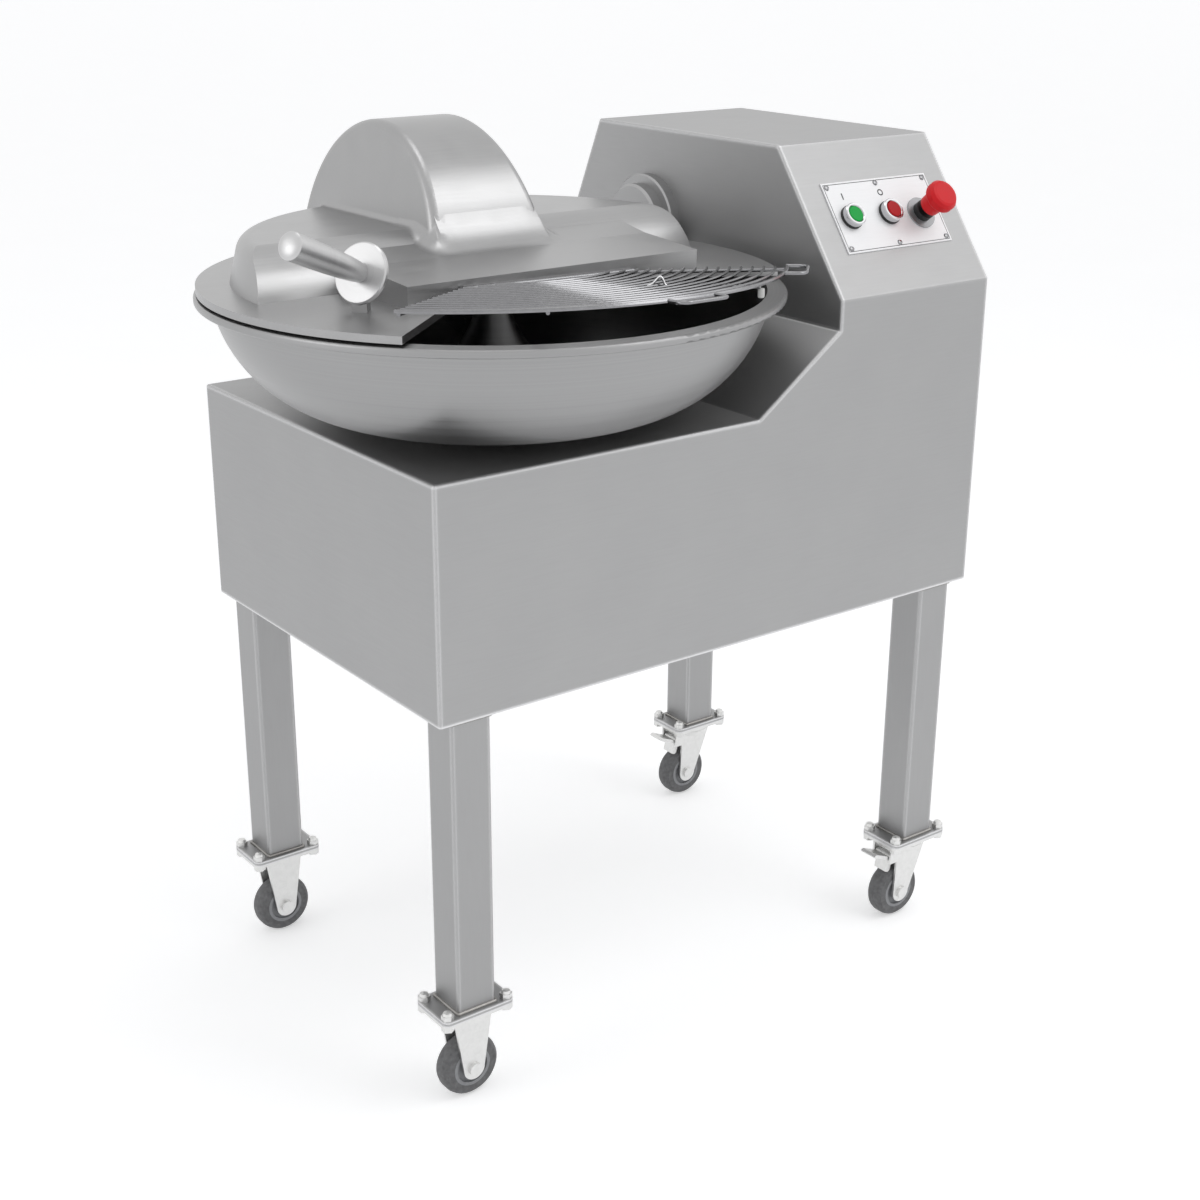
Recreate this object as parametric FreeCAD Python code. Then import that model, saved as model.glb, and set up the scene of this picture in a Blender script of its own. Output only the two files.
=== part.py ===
import FreeCAD, Part
import math
import os

# Meat and vegetable cutter: a ring bowl that turns under a hinged cover,
# with three knives on a level shaft, on a housing with legs and castors.
# Origin on the floor under the middle of the housing, +X along the housing
# towards the raised console, -Y to the front, +Z up. Millimetres.

Vec = FreeCAD.Vector
X_AXIS = Vec(1, 0, 0)
Y_AXIS = Vec(0, 1, 0)
Z_AXIS = Vec(0, 0, 1)

# Housing of folded sheet
housing_length = 800.0
housing_depth = 520.0
housing_height = 268.0
bowl_deck_gap = 14.0
ramp_foot_x = 35.0
ramp_height = 87.0
console_wall_x = 155.0
console_headroom = 83.0
front_slope_drop = 163.0
front_slope_run = 120.0
back_slope_drop = 112.0
back_slope_run = 52.0
base_thick = 3.0
vent_count = 5
vent_width = 10.0
vent_pitch = 24.0
vent_length = 120.0
sheet = 2.0
bend_radius = 3.0
plate_fit = 0.3

# Legs and castors
leg_width = 50.0
leg_wall = 2.5
leg_inset_left = 42.0
leg_inset_right = 50.0
leg_inset_y = 30.0
foot_length = 94.0
foot_width = 66.0
foot_thick = 6.0
bolt_spacing_x = 79.0
bolt_spacing_y = 50.0
bolt_radius = 4.0
bolt_play = 0.3
bolt_head_height = 5.0
bolt_head_across = 13.0
dome_nut_height = 11.0
castor_plate_thick = 3.0
castor_height = 117.0
wheel_radius = 37.5
wheel_width = 25.0
wheel_hub_radius = 24.0
wheel_bore_play = 0.05
fork_gap = 1.5
fork_sheet = 3.0
fork_top_length = 52.0
axle_radius = 5.0
swivel_trail = 15.0
kingpin_radius = 6.0
raceway_radius = 27.0
raceway_height = 6.0
swivel_gap = 0.3
crown_thick = 6.0
pedal_pin_radius = 3.0
pedal_reach = 6.0
pedal_drop = 14.0

# Bowl
bowl_console_gap = 21.0
bowl_back_overhang = 6.0
rim_radius = 328.0
rim_top_z = 900.0
rim_thick = 9.0
rim_width = 21.0
hub_foot_radius = 13.0
knife_axis_height = 17.0
bowl_wall = 5.0
hub_top_drop = 19.75
hub_tip_rise = 4.0
hub_boss_radius = 30.0
rim_edge_radius = 3.0
spindle_grip = 69.0
spindle_end_play = 1.0
bowl_seat_drop = 5.0
spindle_radius = 15.0
spindle_flange_radius = 28.0
spindle_flange_thick = 5.0
running_play = 0.05

# Worm drive under the bowl
worm_module = 4.0
wheel_teeth = 30
worm_pitch_radius = 20.0
worm_backlash = 0.9
worm_turns = 4
wheel_face = 22.0
tooth_clearance = 0.7
gear_depth = 111.0
worm_phase = -90.0
gear_pressure_angle = 20.0
gearcase_wall = 8.0
gearcase_gap = 4.0
gearcase_height = 64.0
neck_radius = 30.0
worm_shaft_radius = 10.0

# Knife shaft and its bearing housing
shaft_radius = 12.5
knife_tip_gap = 3.0
knife_thick = 3.0
knife_count = 3
knife_spacer = 3.0
first_knife_offset = -6.0
knife_tip_angle = 98.0
knife_shoulder_length = 10.0
knife_shoulder_taper = 12.0
knife_hub_radius = 24.0
knife_nut_length = 14.0
knife_nut_radius = 20.0
bearing_flange_radius = 61.0
bearing_flange_thick = 14.0
bearing_boss_radius = 49.6
bearing_boss_length = 16.0
bearing_sleeve_radius = 40.0
bearing_sleeve_end = 205.0
bearing_bush_length = 26.0

# Motor and belts
motor_y = 95.0
motor_rise = 106.0
motor_radius = 72.0
motor_front_x = 178.0
motor_length = 190.0
motor_shaft_depth = 130.0
motor_shaft_play = 2.0
motor_shaft_radius = 12.0
motor_edge = 8.0
motor_rear_ring = 40.0
motor_front_ring = 20.0
motor_ring_taper = 4.0
motor_nose_radius = 40.0
motor_foot_spread = 45.0
motor_foot_half_width = 14.0
motor_foot_rise = 8.0
motor_foot_length = 24.0
motor_foot_back = 55.0
motor_foot_front = 60.0
terminal_start = 70.0
terminal_length = 70.0
terminal_half_width = 30.0
terminal_rise = 26.0
motor_fins = 20
fin_height = 8.0
fin_thick = 3.0
belt_width = 10.0
belt_thick = 8.0
belt_play = 0.4
knife_pulley_radius = 36.0
motor_pulley_radius = 42.0
worm_pulley_radius = 70.0
pulley_thick = 16.0
bowl_belt_x = 208.0
knife_belt_x = 226.0
shaft_stub = 8.0

# Cover casting over the back of the bowl
cover_gap = 3.0
cover_flange_thick = 8.0
cover_flange_inset = 3.0
cover_wall = 4.0
dome_foot_inset = 40.0
dome_draft = 12.0
dome_height = 50.0
dome_edge_radius = 18.0
shoulder_top_offset = 76.0
shoulder_foot_offset = 2.0
shoulder_bulge_run = 50.0
shoulder_bulge_drop = 13.0
apron_left_reach = 178.0
apron_right_reach = 201.0
apron_front_reach = 113.0
apron_height = 24.0
apron_back_height = 30.0
apron_back_gap = 20.0
hump_rise = 4.0
hump_left_reach = 74.8
hump_right_reach = 88.1
hump_draft_left = 0.156
hump_draft_right = 0.186
hump_edge_radius = 10.0
hump_blend_radius = 8.0
cut_left_angle = -139.0
cut_right_angle = -29.0
shaft_slot_gap = 5.0
hinge_reach = 38.0
hinge_rise = 2.0
hinge_pin_radius = 6.0
hinge_lug_radius = 14.0
hinge_lug_thick = 16.0
hinge_lug_spacing = 130.0
hinge_arm_thick = 8.0
hinge_arm_gap = 0.5
hinge_plate_thick = 6.0
hinge_plate_drop = 6.0
hinge_arm_neck = 50.0
hinge_arm_foot = 20.0
hinge_arm_foot_reach = 12.0
hinge_plate_height = 105.0

# Lifting handle on the cover
handle_angle = -158.0
handle_reach = 235.0
handle_post_width = 16.0
handle_post_height = 24.0
handle_post_turn = 25.0
handle_disc_radius = 32.0
handle_disc_thick = 6.0
handle_disc_edge = 1.5
handle_disc_rise = 39.0
handle_tilt = 22.0
handle_length = 112.0
handle_root_radius = 10.0
handle_waist = 28.0
handle_tip_radius = 14.3
handle_crown = 4.0

# Scraper inside the bowl
scraper_angle = -172.0
scraper_thick = 8.0
scraper_width = 30.0
scraper_gap = 3.0
scraper_start_angle = 8.0
scraper_end_angle = 118.0

# Wire guard in front of the cover
guard_rim_inset = 2.0
guard_pitch = 12.5
guard_wire_radius = 1.5
guard_bar_radius = 2.0
guard_rim_wire_radius = 2.2
guard_rail_radius = 2.6
guard_inner_radius = 126.0
guard_apex_offset = 45.0
guard_edge_angle = 34.0
guard_front_height = 25.5
guard_rise = 3.15
guard_lean = 1.15
guard_skirt_gap = 2.9
guard_overhang = 4.0
guard_bar_angles = (-34.0, -62.0, -90.0, -118.0, -146.0)
loop_reach = 24.0
loop_bend = 10.0
side_loop_angles = (-50.0, -39.0)
front_loop_angles = (-92.0, -81.0)

# Control plate and buttons on the front slope
panel_left_x = 193.0
panel_width = 172.0
panel_low = 55.0
panel_height = 92.0
panel_thick = 1.5
start_x = 219.0
stop_x = 281.0
estop_x = 332.0
button_row = 100.0
estop_row = 95.0
bezel_radius = 14.3
bezel_height = 11.0
bezel_foot_radius = 15.0
bezel_foot_height = 3.0
cap_radius = 10.0
cap_play = 0.4
button_stem_radius = 5.0
button_travel = 4.0
estop_ring_radius = 20.0
estop_ring_height = 2.0
estop_collar_radius = 12.5
estop_collar_height = 10.0
estop_neck_radius = 13.0
estop_head_radius = 19.7
estop_head_height = 14.0
estop_neck_height = 17.0
estop_flange_thick = 1.0
estop_gap = 0.8
estop_travel = 5.0
estop_stem_radius = 6.0
contact_block_size = 26.0
contact_block_depth = 30.0
screw_head_radius = 3.6
screw_head_height = 2.0

# Service panel and cord gland in the back
service_rise = 37.0
service_height = 195.0
service_left_x = -80.0
service_right_x = 320.0
service_overlap = 15.0
louvre_count = 6
louvre_length = 150.0
louvre_height = 6.0
louvre_pitch = 20.0
gland_inset = 50.0
gland_rise = 57.0
gland_bore_radius = 5.0
gland_radius = 11.0
gland_length = 26.0

half_length = housing_length / 2
half_depth = housing_depth / 2
bowl_x = console_wall_x - bowl_console_gap - rim_radius
bowl_y = half_depth + bowl_back_overhang - rim_radius
trough_radius = (rim_radius - rim_width - hub_foot_radius) / 2
trough_offset = hub_foot_radius + trough_radius
knife_radius = trough_radius - knife_tip_gap
hump_radius = trough_radius + hump_rise
knife_y = bowl_y + trough_offset
knife_z = rim_top_z + knife_axis_height
bowl_bottom_z = knife_z - trough_radius - bowl_wall
bowl_seat_z = bowl_bottom_z - bowl_seat_drop
deck_z = bowl_bottom_z - bowl_deck_gap
housing_bottom = deck_z - housing_height
base_top_z = housing_bottom + base_thick
ramp_top_z = deck_z + ramp_height
console_top_z = knife_z + knife_pulley_radius + console_headroom
front_slope_foot_z = console_top_z - front_slope_drop
back_slope_foot_z = console_top_z - back_slope_drop
gear_z = deck_z - gear_depth
motor_z = base_top_z + motor_rise
first_knife_x = bowl_x + first_knife_offset
flange_low_z = rim_top_z + cover_gap
flange_top_z = flange_low_z + cover_flange_thick
dome_top_z = flange_top_z + dome_height
cover_flange_radius = rim_radius - cover_flange_inset
dome_foot_radius = rim_radius - dome_foot_inset
dome_top_radius = dome_foot_radius - dome_draft
shoulder_top_y = bowl_y + shoulder_top_offset
shoulder_foot_y = bowl_y + shoulder_foot_offset
apron_left_x = bowl_x - apron_left_reach
apron_right_x = bowl_x + apron_right_reach
apron_front_y = bowl_y - apron_front_reach
apron_fold_z = flange_top_z + apron_height
apron_back_z = flange_top_z + apron_back_height
hump_foot_left_x = bowl_x - hump_left_reach
hump_foot_right_x = bowl_x + hump_right_reach
hinge_y = half_depth + hinge_reach
hinge_z = flange_low_z + hinge_rise
hinge_plate_top_z = deck_z - hinge_plate_drop
guard_front_z = flange_top_z + guard_front_height
guard_rim_radius = rim_radius - guard_rim_inset
service_low_z = housing_bottom + service_rise
service_high_z = service_low_z + service_height
gland_x = half_length - gland_inset
gland_z = housing_bottom + gland_rise
foot_low_z = castor_height
foot_top_z = castor_height + foot_thick
plate_low_z = castor_height - castor_plate_thick
left_leg_x = -half_length + leg_inset_left
right_leg_x = half_length - leg_inset_right
leg_y = half_depth - leg_inset_y
wheel_pitch_radius = worm_module * wheel_teeth / 2
worm_y = bowl_y - wheel_pitch_radius - worm_pitch_radius
worm_lead = math.pi * worm_module
bowl_centre = Vec(bowl_x, bowl_y, 0)


def box(x0, x1, y0, y1, z0, z1):
    return Part.makeBox(x1 - x0, y1 - y0, z1 - z0, Vec(x0, y0, z0))


def rod(start, direction, radius, length):
    return Part.makeCylinder(radius, length, start, direction)


def face_of(points):
    return Part.Face(Part.makePolygon(points + [points[0]]))


def prism_x(points, x0, x1):
    return face_of([Vec(x0, y, z) for y, z in points]).extrude(Vec(x1 - x0, 0, 0))


def prism_y(points, y0, y1):
    return face_of([Vec(x, y0, z) for x, z in points]).extrude(Vec(0, y1 - y0, 0))


def prism_z(points, z0, z1):
    return face_of([Vec(x, y, z0) for x, y in points]).extrude(Vec(0, 0, z1 - z0))


def turned(profile, centre, axis):
    # Solid of revolution from (radius, distance along the axis) pairs
    side = Vec(1, 0, 0) if abs(axis.x) < 0.5 else Vec(0, 0, 1)
    points = [centre + side * r + axis * h for r, h in profile]
    return face_of(points).revolve(centre, axis, 360)


def line(a, b):
    return Part.LineSegment(a, b).toShape()


def arc(a, middle, b):
    return Part.Arc(a, middle, b).toShape()


def bend(a, pole, b):
    # Curve that leaves a towards the pole and comes into b from it
    curve = Part.BezierCurve()
    curve.setPoles([a, pole, b])
    return curve.toShape()


def hexagon(centre, direction, across, height):
    corner = across / math.sqrt(3)
    turn = FreeCAD.Rotation(Z_AXIS, direction)
    points = []
    for k in range(6):
        angle = math.radians(60 * k + 30)
        points.append(centre + turn.multVec(Vec(corner * math.cos(angle), corner * math.sin(angle), 0)))
    return face_of(points).extrude(direction * height)


def join(shapes):
    return shapes[0].multiFuse(shapes[1:]).removeSplitter() if len(shapes) > 1 else shapes[0]


def save(name, shape):
    shape.exportStep("parts/" + name + ".step")


def slope_frame():
    # Foot, upward direction and outward normal of the console's front slope
    foot = Vec(0, -half_depth, front_slope_foot_z)
    rise = Vec(0, front_slope_run, console_top_z - front_slope_foot_z)
    up = rise.normalize()
    return foot, up, Vec(0, -up.z, up.y)


slope_foot, slope_up, slope_out = slope_frame()


def on_slope(x, along, lift=0.0):
    return slope_foot + X_AXIS * x + slope_up * along + slope_out * lift


def housing_side(inset, low):
    # Outline seen from the front: low deck, ramp and console
    wall = console_wall_x + inset
    ramp_rise = ramp_top_z - deck_z
    ramp_run = console_wall_x - ramp_foot_x
    slant = math.hypot(ramp_rise, ramp_run)
    low_shift = inset * (slant - ramp_run) / ramp_rise
    ramp_at_wall = ramp_top_z + inset * ramp_rise / ramp_run - inset * slant / ramp_run
    return [(-half_length + inset, low), (half_length - inset, low),
            (half_length - inset, console_top_z - inset), (wall, console_top_z - inset),
            (wall, ramp_at_wall), (ramp_foot_x + low_shift, deck_z - inset),
            (-half_length + inset, deck_z - inset)]


def housing_end(inset, low):
    # Outline seen from the end: the console's front and back slopes
    front_rise = console_top_z - front_slope_foot_z
    front_slant = math.hypot(front_rise, front_slope_run)
    back_rise = console_top_z - back_slope_foot_z
    back_slant = math.hypot(back_rise, back_slope_run)
    front_drop = inset * (front_slant - front_rise) / front_slope_run
    back_drop = inset * (back_slant - back_rise) / back_slope_run
    front_shift = inset * (front_slant - front_slope_run) / front_rise
    back_shift = inset * (back_slant - back_slope_run) / back_rise
    return [(-half_depth + inset, low), (-half_depth + inset, front_slope_foot_z - front_drop),
            (-half_depth + front_slope_run + front_shift, console_top_z - inset),
            (half_depth - back_slope_run - back_shift, console_top_z - inset),
            (half_depth - inset, back_slope_foot_z - back_drop), (half_depth - inset, low)]


def housing_form(inset, low):
    sides = prism_y(housing_side(inset, low), -half_depth + inset, half_depth - inset)
    ends = prism_x(housing_end(inset, low), -half_length + inset, half_length - inset)
    return sides.common(ends)


def cabinet_shell():
    outer = housing_form(0.0, housing_bottom)
    upright = [e for e in outer.Edges if e.BoundBox.ZMin > housing_bottom + 1 or e.BoundBox.ZLength > 50]
    outer = outer.makeFillet(bend_radius, upright)
    shell = outer.cut(housing_form(sheet, housing_bottom - 1))
    holes = [rod(Vec(bowl_x, bowl_y, deck_z - 20), Z_AXIS, spindle_radius + 3, 40),
             rod(Vec(console_wall_x - 20, knife_y, knife_z), X_AXIS, bearing_sleeve_radius + plate_fit, 40),
             box(service_left_x, service_right_x, half_depth - 20, half_depth + 20,
                 service_low_z, service_high_z),
             rod(Vec(gland_x, half_depth - 20, gland_z), Y_AXIS, gland_radius - 3 + plate_fit, 40)]
    for x, row in ((start_x, button_row), (stop_x, button_row), (estop_x, estop_row)):
        holes.append(rod(on_slope(x, row, -20), slope_out, cap_radius + 1.3, 40))
    return shell.cut(Part.makeCompound(holes))


def base_plate():
    x = half_length - sheet - plate_fit
    y = half_depth - sheet - plate_fit
    plate = box(-x, x, -y, y, housing_bottom, base_top_z)
    vents = []
    for k in range(vent_count):
        left = (k - vent_count / 2) * vent_pitch
        vents.append(box(left, left + vent_width, -vent_length / 2, vent_length / 2, housing_bottom - 5,
                         base_top_z + 5))
    return plate.cut(Part.makeCompound(vents))


def service_panel():
    back = half_depth
    panel = box(service_left_x - service_overlap, service_right_x + service_overlap,
                back, back + sheet, service_low_z - service_overlap, service_high_z + service_overlap)
    slots = []
    hoods = []
    for column in (0, 1):
        x0 = service_left_x + 30 + column * (louvre_length + 30)
        for k in range(louvre_count):
            z0 = service_low_z + 45 + k * louvre_pitch
            slots.append(box(x0, x0 + louvre_length, back - 5, back + 10, z0, z0 + louvre_height))
            hood = prism_x([(back + sheet, z0 + louvre_height), (back + sheet, z0 + louvre_height + 2),
                            (back + sheet + 7, z0 + 1), (back + sheet + 7, z0 - 1)], x0, x0 + louvre_length)
            hoods.append(hood)
    return join([panel.cut(Part.makeCompound(slots))] + hoods)


def service_screw_places():
    edge = service_overlap / 2
    places = []
    for x in (service_left_x - edge, (service_left_x + service_right_x) / 2, service_right_x + edge):
        for z in (service_low_z - edge, service_high_z + edge):
            places.append(Vec(x, half_depth + sheet, z))
    return places


def panel_screw_places():
    places = []
    for x in (panel_left_x + 7, panel_left_x + panel_width / 2, panel_left_x + panel_width - 7):
        for row in (panel_low + 6, panel_low + panel_height - 6):
            places.append(on_slope(x, row, panel_thick))
    return places


def screw_head(place, out):
    # Low domed head
    side = turned([(0, 0), (screw_head_radius, 0), (screw_head_radius * 0.75, screw_head_height * 0.75),
                   (0, screw_head_height)], place, Z_AXIS)
    side.rotate(place, Z_AXIS.cross(out), math.degrees(Z_AXIS.getAngle(out)))
    return side


def housing_screws():
    heads = [screw_head(p, Y_AXIS) for p in service_screw_places()]
    heads += [screw_head(p, slope_out) for p in panel_screw_places()]
    return Part.makeCompound(heads)


def bolt_places(cx, cy):
    half_x = bolt_spacing_x / 2
    half_y = bolt_spacing_y / 2
    return [Vec(cx + sx * half_x, cy + sy * half_y, 0) for sx in (-1, 1) for sy in (-1, 1)]


def rounded_plate(cx, cy, length, width, z0, z1, radius):
    plate = box(cx - length / 2, cx + length / 2, cy - width / 2, cy + width / 2, z0, z1)
    corners = [e for e in plate.Edges if e.BoundBox.ZLength > (z1 - z0) / 2]
    return plate.makeFillet(radius, corners)


def plate_holes(cx, cy, z0, z1):
    return Part.makeCompound([rod(p + Z_AXIS * (z0 - 1), Z_AXIS, bolt_radius + bolt_play, z1 - z0 + 2)
                              for p in bolt_places(cx, cy)])


def leg(cx, cy):
    half = leg_width / 2
    inner = half - leg_wall
    tube = box(cx - half, cx + half, cy - half, cy + half, foot_top_z, housing_bottom)
    corners = [e for e in tube.Edges if e.BoundBox.ZLength > 50]
    tube = tube.makeFillet(bend_radius, corners)
    tube = tube.cut(box(cx - inner, cx + inner, cy - inner, cy + inner, foot_top_z, housing_bottom))
    foot = rounded_plate(cx, cy, foot_length, foot_width, foot_low_z, foot_top_z, 8)
    foot = foot.cut(plate_holes(cx, cy, foot_low_z, foot_top_z))
    return join([tube, foot])


def castor_plate(cx, cy):
    plate = rounded_plate(cx, cy, foot_length, foot_width, plate_low_z, foot_low_z, 8)
    return plate.cut(plate_holes(cx, cy, plate_low_z, foot_low_z))


def castor_bolt(place):
    low = plate_low_z - bolt_head_height
    head = hexagon(place + Z_AXIS * low, Z_AXIS, bolt_head_across, bolt_head_height)
    shank = rod(place + Z_AXIS * plate_low_z, Z_AXIS, bolt_radius, foot_top_z - plate_low_z)
    nut = hexagon(place + Z_AXIS * foot_top_z, Z_AXIS, bolt_head_across, dome_nut_height * 0.55)
    dome_foot = foot_top_z + dome_nut_height * 0.55
    dome = turned([(0, dome_foot), (bolt_head_across * 0.45, dome_foot),
                   (bolt_head_across * 0.36, dome_foot + dome_nut_height * 0.3),
                   (0, dome_foot + dome_nut_height * 0.45)], place, Z_AXIS)
    return join([head, shank, nut, dome])


def fork_cheek_y(cy, side):
    return cy + side * (wheel_width / 2 + fork_gap)


def fork_cheek(cx, cy, side, top_z, shift):
    # One side of a fork: wide under the plate, narrow and round at the axle
    inner = fork_cheek_y(cy, side)
    outer = inner + side * fork_sheet
    axle_x = cx - shift
    nose = 14.0
    half = fork_top_length / 2
    left = Vec(cx - half, inner, top_z)
    right = Vec(cx + half, inner, top_z)
    nose_left = Vec(axle_x - nose, inner, wheel_radius)
    nose_right = Vec(axle_x + nose, inner, wheel_radius)
    nose_low = Vec(axle_x, inner, wheel_radius - nose)
    wire = Part.Wire([line(left, right), line(right, nose_right), arc(nose_right, nose_low, nose_left),
                      line(nose_left, left)])
    return Part.Face(wire).extrude(Vec(0, outer - inner, 0))


def rigid_fork(cx, cy):
    hole = rod(Vec(cx, cy - wheel_radius, wheel_radius), Y_AXIS, axle_radius, 2 * wheel_radius)
    cheeks = [fork_cheek(cx, cy, side, plate_low_z, 0.0).cut(hole) for side in (-1, 1)]
    return join([castor_plate(cx, cy)] + cheeks)


def axle_bolt(cx, cy):
    # Axle through both cheeks with a low round head and a nut
    outside = wheel_width / 2 + fork_gap + fork_sheet
    shank = rod(Vec(cx, cy - outside, wheel_radius), Y_AXIS, axle_radius, 2 * outside)
    head = rod(Vec(cx, cy - outside - 4, wheel_radius), Y_AXIS, 8, 4)
    nut = hexagon(Vec(cx, cy + outside, wheel_radius), Y_AXIS, 15, 6)
    return join([shank, head, nut])


def castor_fasteners():
    solids = []
    for cx in (left_leg_x, right_leg_x):
        for cy in (-leg_y, leg_y):
            solids += [castor_bolt(p) for p in bolt_places(cx, cy)]
    solids += [axle_bolt(left_leg_x, cy) for cy in (-leg_y, leg_y)]
    return Part.makeCompound(solids)


def swivel_plate(cx, cy):
    cup = rod(Vec(cx, cy, plate_low_z - raceway_height), Z_AXIS, raceway_radius, raceway_height)
    crown_low = plate_low_z - raceway_height - swivel_gap - crown_thick
    pin = rod(Vec(cx, cy, crown_low - swivel_gap), Z_AXIS, kingpin_radius,
              raceway_height + crown_thick + 2 * swivel_gap)
    head = rod(Vec(cx, cy, crown_low - swivel_gap - 4), Z_AXIS, kingpin_radius + 3, 4)
    return join([castor_plate(cx, cy), cup, pin, head])


def swivel_fork(cx, cy):
    top = plate_low_z - raceway_height - swivel_gap
    crown = rod(Vec(cx, cy, top - crown_thick), Z_AXIS, raceway_radius, crown_thick)
    crown = crown.cut(rod(Vec(cx, cy, top - crown_thick - 1), Z_AXIS, kingpin_radius + running_play,
                          crown_thick + 2))
    cheeks = [fork_cheek(cx, cy, side, top, swivel_trail) for side in (-1, 1)]
    axle = axle_bolt(cx - swivel_trail, cy)
    lug_y = wheel_width / 2 + fork_gap + fork_sheet
    pivot = rod(Vec(pedal_pivot_x(cx), cy - lug_y, pedal_pivot_z()), Y_AXIS, pedal_pin_radius, 2 * lug_y)
    ears = []
    for side in (-1, 1):
        inner = fork_cheek_y(cy, side)
        low_y = min(inner, inner + side * fork_sheet)
        ears.append(box(pedal_pivot_x(cx) - 7, cx - fork_top_length / 2 + 8, low_y, low_y + fork_sheet,
                        pedal_pivot_z() - 7, top))
    return join([crown] + cheeks + ears + [axle, pivot])


def pedal_pivot_x(cx):
    return cx - fork_top_length / 2 - pedal_reach


def pedal_pivot_z():
    return plate_low_z - raceway_height - swivel_gap - pedal_drop


def brake_pedal(cx, cy):
    # Foot lever pinned between the fork's ears; its shoe meets the tyre when the tread goes down
    px = pedal_pivot_x(cx)
    pz = pedal_pivot_z()
    half = wheel_width / 2 + fork_gap - 1
    eye = rod(Vec(px, cy - half, pz), Y_AXIS, 6, 2 * half)
    blade = prism_y([(px - 4, pz + 2), (px - 30, pz + 13), (px - 34, pz + 11), (px - 32, pz + 8),
                     (px - 4, pz - 3)], cy - half, cy + half)
    shoe = prism_y([(px - 5, pz), (px - 9, pz - 20), (px - 4.2, pz - 22), (px - 1, pz - 20), (px + 5, pz)],
                   cy - wheel_width / 2 + 2, cy + wheel_width / 2 - 2)
    lever = join([eye, blade, shoe])
    return lever.cut(rod(Vec(px, cy - wheel_radius, pz), Y_AXIS, pedal_pin_radius + running_play,
                         2 * wheel_radius))


def tyre(cx, cy):
    half = wheel_width / 2
    profile = [(wheel_hub_radius, -half), (wheel_radius - 5, -half), (wheel_radius - 1.2, -half + 4),
               (wheel_radius, -half + 8), (wheel_radius, half - 8), (wheel_radius - 1.2, half - 4),
               (wheel_radius - 5, half), (wheel_hub_radius, half)]
    return turned(profile, Vec(cx, cy, wheel_radius), Y_AXIS)


def wheel_hub(cx, cy):
    half = wheel_width / 2
    bore = axle_radius + wheel_bore_play
    profile = [(bore, -half - 0.8), (bore + 5, -half - 0.8), (bore + 5, -half + 4),
               (wheel_hub_radius - 4, -half + 4), (wheel_hub_radius - 4, -half), (wheel_hub_radius, -half),
               (wheel_hub_radius, half), (wheel_hub_radius - 4, half), (wheel_hub_radius - 4, half - 4),
               (bore + 5, half - 4), (bore + 5, half + 0.8), (bore, half + 0.8)]
    return turned(profile, Vec(cx, cy, wheel_radius), Y_AXIS)


def trough_point(radius, angle):
    # Point of an arc about the trough's centre, angle 0 pointing out
    r = trough_offset + radius * math.cos(math.radians(angle))
    z = knife_z + radius * math.sin(math.radians(angle))
    return Vec(bowl_x + r, bowl_y, z)


def trough_angle_at(radius, z):
    return -math.degrees(math.asin((knife_z - z) / radius))


def bowl():
    outer_radius = trough_radius + bowl_wall
    hub_z = rim_top_z - hub_top_drop
    in_top = trough_angle_at(trough_radius, rim_top_z)
    in_hub = -180 - trough_angle_at(trough_radius, hub_z)
    out_top = trough_angle_at(outer_radius, rim_top_z - rim_thick)
    boss_angle = -180 + math.degrees(math.acos((trough_offset - hub_boss_radius) / outer_radius))
    a = trough_point(trough_radius, in_top)
    b = trough_point(trough_radius, in_hub)
    c = Vec(bowl_x, bowl_y, hub_z + hub_tip_rise)
    d = Vec(bowl_x, bowl_y, bowl_seat_z)
    e = Vec(bowl_x + hub_boss_radius, bowl_y, bowl_seat_z)
    f = trough_point(outer_radius, boss_angle)
    g = trough_point(outer_radius, out_top)
    h = Vec(bowl_x + rim_radius, bowl_y, rim_top_z - rim_thick)
    i = Vec(bowl_x + rim_radius, bowl_y, rim_top_z)
    edges = [arc(a, trough_point(trough_radius, -90), b), line(b, c), line(c, d), line(d, e), line(e, f),
             arc(f, trough_point(outer_radius, -90), g), line(g, h), line(h, i), line(i, a)]
    body = Part.Face(Part.Wire(edges)).revolve(bowl_centre, Z_AXIS, 360)
    rim = [e for e in body.Edges if abs(e.BoundBox.XLength - 2 * rim_radius) < 0.5]
    body = body.makeFillet(rim_edge_radius, rim)
    socket = rod(Vec(bowl_x, bowl_y, bowl_seat_z - 1), Z_AXIS, spindle_radius + running_play,
                 spindle_grip + spindle_end_play + 1)
    return body.cut(socket)


def bowl_spindle():
    top = bowl_seat_z + spindle_grip
    low = gear_z - gearcase_height / 2
    flange = rod(Vec(bowl_x, bowl_y, bowl_seat_z - spindle_flange_thick), Z_AXIS, spindle_flange_radius,
                 spindle_flange_thick)
    return join([rod(Vec(bowl_x, bowl_y, low), Z_AXIS, spindle_radius, top - low), flange])


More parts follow.
